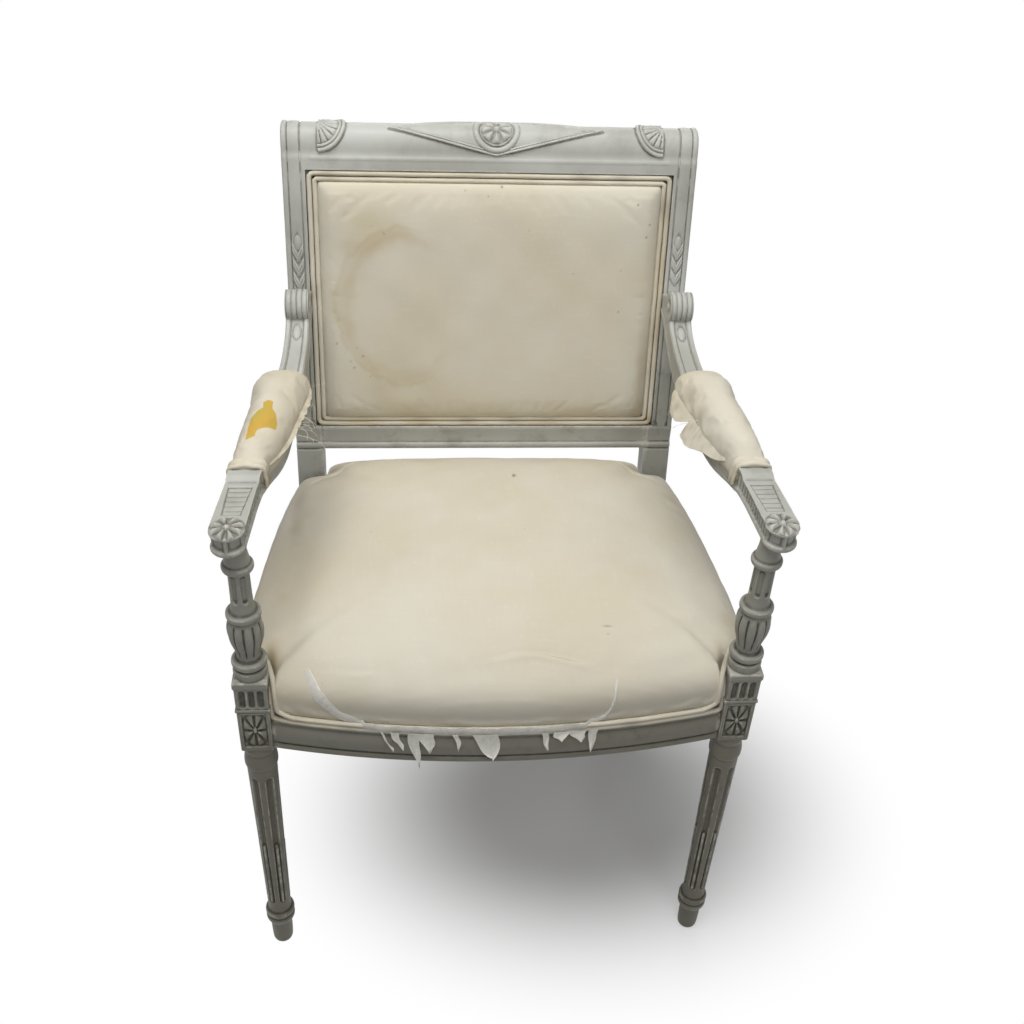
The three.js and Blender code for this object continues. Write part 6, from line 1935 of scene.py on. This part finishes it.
class TornClothOperator(bpy.types.Operator):
    """Makes the torn strip and scraps at the front, the loose flaps on the pads and their threads"""
    bl_idname = "armchair.torn_cloth"
    bl_label = "Torn Cloth"

    def execute(self, context):
        self.flaps()
        self.threads()
        shells = []
        for name in ("seat_cushion", "front_seat_welt_cords", "front_seat_rail_moulded"):
            mesh = bpy.data.objects[name].data
            shells.append((millimetres_of(mesh), [list(face.vertices) for face in mesh.polygons]))
        points, faces = joined(*shells)
        self.front = BVHTree.FromPolygons(points.tolist(), faces)
        self.front_strip()
        self.scraps()
        return {"FINISHED"}

    def on_front(self, x, z, off=0.8):
        """Points just in front of the cushion, the welt or the rail at each x and z."""
        found = []
        for a, b in zip(np.broadcast_to(x, np.shape(z)), z):
            hit = self.front.ray_cast(Vector((a, -300, b)), Vector((0, 1, 0)))[0]
            found.append((a, (hit.y if hit else front_rail_face(a)) - off, b))
        return np.array(found)

    def flaps(self):
        """Loose cloth along the inner side of each pad."""
        layout = [
            (-1, "left", 1, 96, 246, 19, 0.3, 11, 0.6, 0.4),
            (1, "right", 1, 100, 182, 30, 0.85, 13, 0.93, 0.08),
            (1, "right", 2, 178, 240, 27, 0.7, 14, 0.3, 0.05),
        ]
        for side, label, number, start, end, length, droop, seed, peak, torn in layout:
            u, v = grid_shares(18, 120)
            y = mix(start, end, u)
            middle, half, _ = pad_station(y)
            lobe = np.where(u < peak, clamp(u / peak) ** 0.6, clamp((1 - u) / (1 - peak)) ** 0.5)
            ragged = 1 - torn * fray(u, seed, 61) - 0.3 * torn * fray(u, seed + 1, 139)
            reach = length * v * lobe * ragged * (0.92 + 0.08 * np.sin(11 * u + seed))
            x = middle - half + 1.0 - reach * 0.62
            z = 671 - reach * droop - 1.2 * v + 1.6 * np.sin(6 * u + seed) * v * lobe
            shell = two_sided(points_at(side * x, y + 2 * v * math.sin(seed), z), 0.6)
            piece = make(f"{label}_pad_flap_{number}", shell, cloth_material(), 80)
            points = millimetres_of(piece.data)
            soiled(piece, 0.2 + 0.2 * noise(points, 20, seed), 0.25 + 0.25 * noise(points, 15, seed + 1))
            settle(piece, "calico")

    def threads(self):
        """Loose threads at the torn edges of the pads."""
        for (side, label), count in zip(SIDES, (14, 4)):
            rng = np.random.default_rng(60 + side)
            paths = []
            for _ in range(count):
                y = rng.uniform(150, 244)
                root = np.array([side * (follow(ARM_MIDDLE, y) - 27), y, rng.uniform(668, 678)])
                reach = np.array([-side * rng.uniform(6, 34), rng.uniform(-24, 14), -rng.uniform(0, 16)])
                share = np.linspace(0, 1, 14)[:, None]
                bow = np.array([-side * rng.uniform(0, 9), rng.uniform(-4, 4), rng.uniform(1, 5)])
                paths.append(root + reach * share + bow * np.sin(math.pi * share) * share)
            piece = swept_piece(f"{label}_pad_threads", paths, cloth_material(), 0.22, step=1.5, sides=5)
            clean = np.zeros(len(piece.data.vertices))
            soiled(piece, clean, clean)
            settle(piece, "calico")

    def front_strip(self):
        """A torn hem along the front welt, whose ends lie up over the cushion."""
        knots = [
            (-205, 473), (-196, 460), (-185, 445), (-172, 431), (-155, 421), (-130, 418), (-93, 418),
            (-57, 418), (-20, 416.5), (17, 416.5), (54, 417), (88, 419), (108, 425), (118, 438), (121, 455),
            (122, 470),
        ]
        x, z = evened(rounded(knots, 2), 1.6).T
        path = self.on_front(x, z + 0.9 * np.sin(x / 9) + 0.6 * np.sin(x / 3.7), 0.9)
        for _ in range(6):
            path[1:-1, 1] = 0.25 * path[:-2, 1] + 0.5 * path[1:-1, 1] + 0.25 * path[2:, 1]
        path[:, 1] = np.minimum(path[:, 1], self.on_front(path[:, 0], path[:, 2], 0.7)[:, 1])
        way = np.gradient(path, axis=0)
        across = np.cross(way, np.array([0, -1.0, 0]))
        across /= np.linalg.norm(across, axis=1)[:, None]
        table = [
            (-206, 8), (-200, 13), (-186, 11), (-172, 9), (-140, 8.5), (-60, 9.5), (0, 11), (60, 10),
            (100, 7), (112, 4), (123, 2),
        ]
        width = follow(table, x) * (0.6 + 0.5 * fray(np.linspace(0, 1, len(x)), 77, 90))
        v = np.linspace(-0.5, 0.5, 7)[:, None, None]
        grid = path + v * across * width[:, None] + np.array([0, 0.6, 0]) * (4 * v ** 2)
        piece = make("torn_front_hem", two_sided(grid, 0.5), gauze_material(), 80)
        settle(piece, "calico")

    def scraps(self):
        """Thin scraps that hang from the torn hem: place, width, length and lean of each."""
        layout = [
            (-128, 2.4, 26, 14), (-114, 9, 23, 9), (-93, 13, 52, 4), (-80, 19, 28, 3), (-48, 6, 24, 3),
            (-17, 27, 40, 9), (46, 7, 27, 5), (64, 18, 12, 0), (82, 18, 15, 3), (100, 10, 32, -4),
        ]
        u, v = grid_shares(26, 16)
        for seed, (x0, width, length, lean) in enumerate(layout, 1):
            taper = 1 - 0.25 * v - 0.6 * v ** 4
            shift = lean * v ** 1.3 + 1.2 * np.sin(5 * v + seed)
            x = x0 + (u - 0.5) * width * taper + shift
            reach = length * v * (0.55 + 0.45 * fray(u, seed + 40, 5))
            rest = self.on_front(x.ravel(), (415 - reach).ravel(), 0.8)[:, 1].reshape(x.shape)
            flat = front_rail_face(np.clip(x, -240, 240)) - 1.4
            out = 0.16 * reach * v + 1.0 * (1 + np.sin(5 * u + 3 * v + seed)) * v
            y = np.minimum(rest, flat) - 1.0 * v - out
            z = 415 - reach * (1 - 0.1 * v)
            piece = make(f"torn_scrap_{seed}", two_sided(points_at(x, y, z), 0.3), gauze_material(), 80)
            settle(piece, "calico")


def gauze_material():
    return finish_named("torn_gauze", gauze_finish)


class WebbingOperator(bpy.types.Operator):
    """Makes the woven jute straps under the seat and in the back"""
    bl_idname = "armchair.webbing"
    bl_label = "Webbing"

    def execute(self, context):
        for group, thick in (("seat", 2.0), ("back", 1.5)):
            names = sorted(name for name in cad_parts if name.startswith(f"{group}_web_"))
            for name in names:
                self.strap(name, names, thick, group == "back")
        return {"FINISHED"}

    @staticmethod
    def strap(name, names, thick, in_back):
        low, high = corners(name)
        if in_back:
            low, high = unraked(np.array([low, high]))
            low[1], high[1] = sorted((low[1], high[1]))
        third = 1 if in_back else 2
        along, other = (0, 3 - third) if "across" in name else (3 - third, 0)
        middle = (low + high) / 2
        phase = int(name[-1]) - (along == 0)
        boxes = np.array([corners(n) for n in names if ("across" in n) != (along == 0)])
        boxes = unraked(boxes) if in_back else boxes
        at = sorted(boxes[:, :, along].mean(1))
        lift = (thick + 0.4) / 2
        knots = [(low[along], 0.0)] + [(a, -lift if (i + phase) % 2 else lift) for i, a in enumerate(at)]
        knots.append((high[along], 0.0))
        if in_back:
            knots = [(a, -b) for a, b in knots]
        run = np.linspace(low[along], high[along], 120)
        stops, level = np.array(knots).T
        share = np.interp(run, stops, range(len(knots)))
        base = np.floor(share).astype(int).clip(0, len(knots) - 2)
        rise = mix(level[base], level[base + 1], smooth_step(share - base, 0.2, 0.8))
        half = (high[other] - low[other]) / 2 - 0.3
        v = np.linspace(-1, 1, 15)
        rows = []
        half_thick = thick / 2 - 0.15 * np.abs(v) ** 8
        for place, up in zip(run, rise):
            top = np.empty((15, 3))
            top[:, along], top[:, other] = place, middle[other] + v * half
            top[:, third] = middle[third] + up + 0.12 * np.cos(v * 40)
            under = top[::-1].copy()
            top[:, third] += half_thick
            under[:, third] -= half_thick
            rows.append(np.vstack([top, under]))
        rows = np.array(rows)
        piece = make(f"{name}_strap", skin(raked(rows) if in_back else rows), jute_material())
        settle(piece, "jute", name)


class SpringsOperator(bpy.types.Operator):
    """Makes the waisted seat springs and the canvas that covers them"""
    bl_idname = "armchair.springs"
    bl_label = "Springs and Canvas"

    def execute(self, context):
        wire, curls, waist = 3.6, 4, 24
        paths, nodes = [], [f"seat_spring_{i}" for i in range(1, 6)]
        for node in nodes:
            low, high = corners(node)
            middle = (low + high) / 2
            end = (high[0] - low[0]) / 2 - wire / 2
            share = np.linspace(0, 1, 420)
            angle = 2 * math.pi * curls * share
            radius = mix(waist, end, np.abs(2 * share - 1) ** 1.5)
            z = mix(low[2] + wire / 2, high[2] - wire / 2, share)
            paths.append(points_at(middle[0] + radius * np.cos(angle), middle[1] + radius * np.sin(angle), z))
        steel = finish_named("spring_steel", steel_finish, "spring_steel", linear(122, 116, 108), 0.9)
        piece = swept_piece("seat_springs", paths, steel, wire / 2, step=4.0, sides=10)
        settle(piece, "steel_springs", *nodes)
        self.canvas()
        return {"FINISHED"}

    @staticmethod
    def canvas():
        """Flat border on the rails, domed over the springs."""
        low, high = corners("spring_canvas")
        table = [(0, 0.02), (0.1, 0.05), (0.15, 0.42), (0.19, 0.8), (0.28, 0.98), (0.5, 1), (0.985, 1)]
        outline = outset(whole_outline(), -0.6)
        thick = 1.5
        rise = high[2] - low[2] - thick

        def ring(inward, z):
            return points_at(outline[:, 0] * (1 - inward), mix(outline[:, 1], SEAT_MIDDLE, inward), z)
        inward, up = columns_of(table, 30)
        top = [ring(a, low[2] + thick + b * rise - 0.1) for a, b in zip(inward, up)]
        under = [ring(min(a + 0.004, 0.99), low[2] + b * rise + 0.1) for a, b in zip(inward, up)][::-1]
        piece = make("spring_canvas_cloth", skin(np.array(under + top)), jute_material())
        settle(piece, "jute", "spring_canvas")


def screw_tree():
    """Node group that sets a slotted, countersunk screw on each point, along its aim."""
    inputs = [
        ("Points", "Geometry", None), ("Head Radius", "Float", 0.0044), ("Shank Radius", "Float", 0.0022),
        ("Length", "Float", 0.042),
    ]
    nodes = {
        "head": "GeometryNodeMeshCone", "shank": "GeometryNodeMeshCone", "slot": "GeometryNodeMeshCube",
        "sunk": "GeometryNodeTransform", "low": "GeometryNodeTransform", "drop": "ShaderNodeMath",
        "shift": "ShaderNodeCombineXYZ", "cut": "GeometryNodeMeshBoolean",
        "whole": "GeometryNodeJoinGeometry", "aim": "GeometryNodeInputNamedAttribute",
        "turn": "FunctionNodeAlignRotationToVector",
        "spread": "GeometryNodeInstanceOnPoints",
    }
    settings = [
        ("drop", "operation", "MULTIPLY"), ("cut", "operation", "DIFFERENCE"), ("turn", "axis", "Z"),
        ("aim", "data_type", "FLOAT_VECTOR"),
    ]
    values = [
        ("head", "Vertices", 24), ("shank", "Vertices", 24), ("head", "Depth", 0.0028),
        ("shank", "Radius Bottom", 0.0004), ("slot", "Size", (0.012, 0.0011, 0.0024)),
        ("sunk", "Translation", (0, 0, -0.0028)), ("drop", 1, -1.0), ("aim", "Name", "aim"),
    ]
    return node_tree("slotted_screws", inputs, nodes, settings, values, [
        ("given", "Head Radius", "head", "Radius Top"), ("given", "Shank Radius", "head", "Radius Bottom"),
        ("given", "Shank Radius", "shank", "Radius Top"), ("given", "Length", "shank", "Depth"),
        ("given", "Length", "drop", 0), ("drop", 0, "shift", "Z"), ("shift", 0, "low", "Translation"),
        ("head", "Mesh", "sunk", "Geometry"), ("shank", "Mesh", "low", "Geometry"),
        ("sunk", 0, "cut", "Mesh 1"), ("slot", "Mesh", "cut", "Mesh 2"), ("cut", "Mesh", "whole", 0),
        ("low", 0, "whole", 0),
        ("aim", "Attribute", "turn", "Vector"), ("given", "Points", "spread", "Points"),
        ("whole", 0, "spread", "Instance"), ("turn", 0, "spread", "Rotation"), ("spread", 0, "real", 0),
    ])


class JoineryOperator(bpy.types.Operator):
    """Makes the steel screws and finishes the beech corner blocks"""
    bl_idname = "armchair.joinery"
    bl_label = "Screws and Corner Blocks"

    def execute(self, context):
        beech = finish_named("sawn_beech", beech_finish)
        for name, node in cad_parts.items():
            if name.endswith("corner_block"):
                node.data.materials.clear()
                node.data.materials.append(beech)
        steel = finish_named("screw_steel", steel_finish, "screw_steel", linear(150, 148, 142), 0.2)
        for group, length in (("block", 42), ("arm", 66)):
            nodes = sorted(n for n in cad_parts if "screw" in n and (f"_{group}_" in n))
            heads, aims = zip(*[self.head_and_aim(n) for n in nodes])
            mesh = bpy.data.meshes.new(f"{group}_screws")
            mesh.from_pydata(to_metres(np.array(heads)).tolist(), [], [])
            layer = mesh.attributes.new("aim", "FLOAT_VECTOR", "POINT")
            layer.data.foreach_set("vector", np.array(aims, np.float32).ravel())
            piece = new_piece(f"{group}_screws", mesh, steel)
            tree = bpy.data.node_groups.get("slotted_screws") or screw_tree()
            run_tree(piece, tree, {"Length": (length - 3) * MILLIMETRE, "Material": steel})
            settle(piece, "steel_screws", *nodes)
        return {"FINISHED"}

    @staticmethod
    def head_and_aim(name):
        """Middle of a screw's head face and the way that it faces."""
        points = millimetres_of(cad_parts[name].data)
        middle = points.mean(0)
        axis = np.linalg.svd(points - middle)[2][0]
        run = (points - middle) @ axis
        away = np.linalg.norm((points - middle) - run[:, None] * axis, axis=1)
        axis = axis if run[np.argmax(away)] > 0 else -axis
        run = (points - middle) @ axis
        ends = points[(run > run.max() - 0.1)]
        centre = (ends.max(0) + ends.min(0)) / 2
        return centre, axis


PIECES = (
    FrontLegsOperator, ArmSupportsOperator, ArmsOperator, BackFrameOperator, SeatRailsOperator, SeatOperator,
    SeatWeltsOperator, BackCushionOperator, BackWeltOperator, BackCoverOperator, ArmPadsOperator,
    TornClothOperator, WebbingOperator, SpringsOperator, JoineryOperator,
)


class ArmchairPanel(bpy.types.Panel):
    """Lists the armchair's sizes, colours and pieces"""
    bl_idname = "VIEW3D_PT_armchair"
    bl_label = "Armchair"
    bl_space_type = "VIEW_3D"
    bl_region_type = "UI"
    bl_category = "Armchair"

    def draw(self, context):
        layout, scene = self.layout, context.scene
        for key, group in GROUPS.items():
            box = layout.box()
            for name in group.__annotations__:
                box.prop(getattr(scene, key), name)
        for operator in (StageOperator,) + PIECES:
            layout.operator(operator.bl_idname)


GROUPS = {
    "armchair_paint": ArmchairPaint, "armchair_carving": ArmchairCarving,
    "armchair_cloth": ArmchairCloth, "armchair_stage": ArmchairStage,
}


def register():
    for group in GROUPS.values():
        bpy.utils.register_class(group)
    for name, group in GROUPS.items():
        setattr(bpy.types.Scene, name, bpy.props.PointerProperty(type=group))
    for operator in (StageOperator,) + PIECES:
        bpy.utils.register_class(operator)
    bpy.utils.register_class(ArmchairPanel)


def unregister():
    bpy.utils.unregister_class(ArmchairPanel)
    for operator in reversed((StageOperator,) + PIECES):
        bpy.utils.unregister_class(operator)
    for name, group in GROUPS.items():
        delattr(bpy.types.Scene, name)
        bpy.utils.unregister_class(group)


def main():
    register()
    for operator in (StageOperator,) + PIECES:
        category, name = operator.bl_idname.split(".")
        getattr(getattr(bpy.ops, category), name)()


if __name__ == "__main__":
    main()
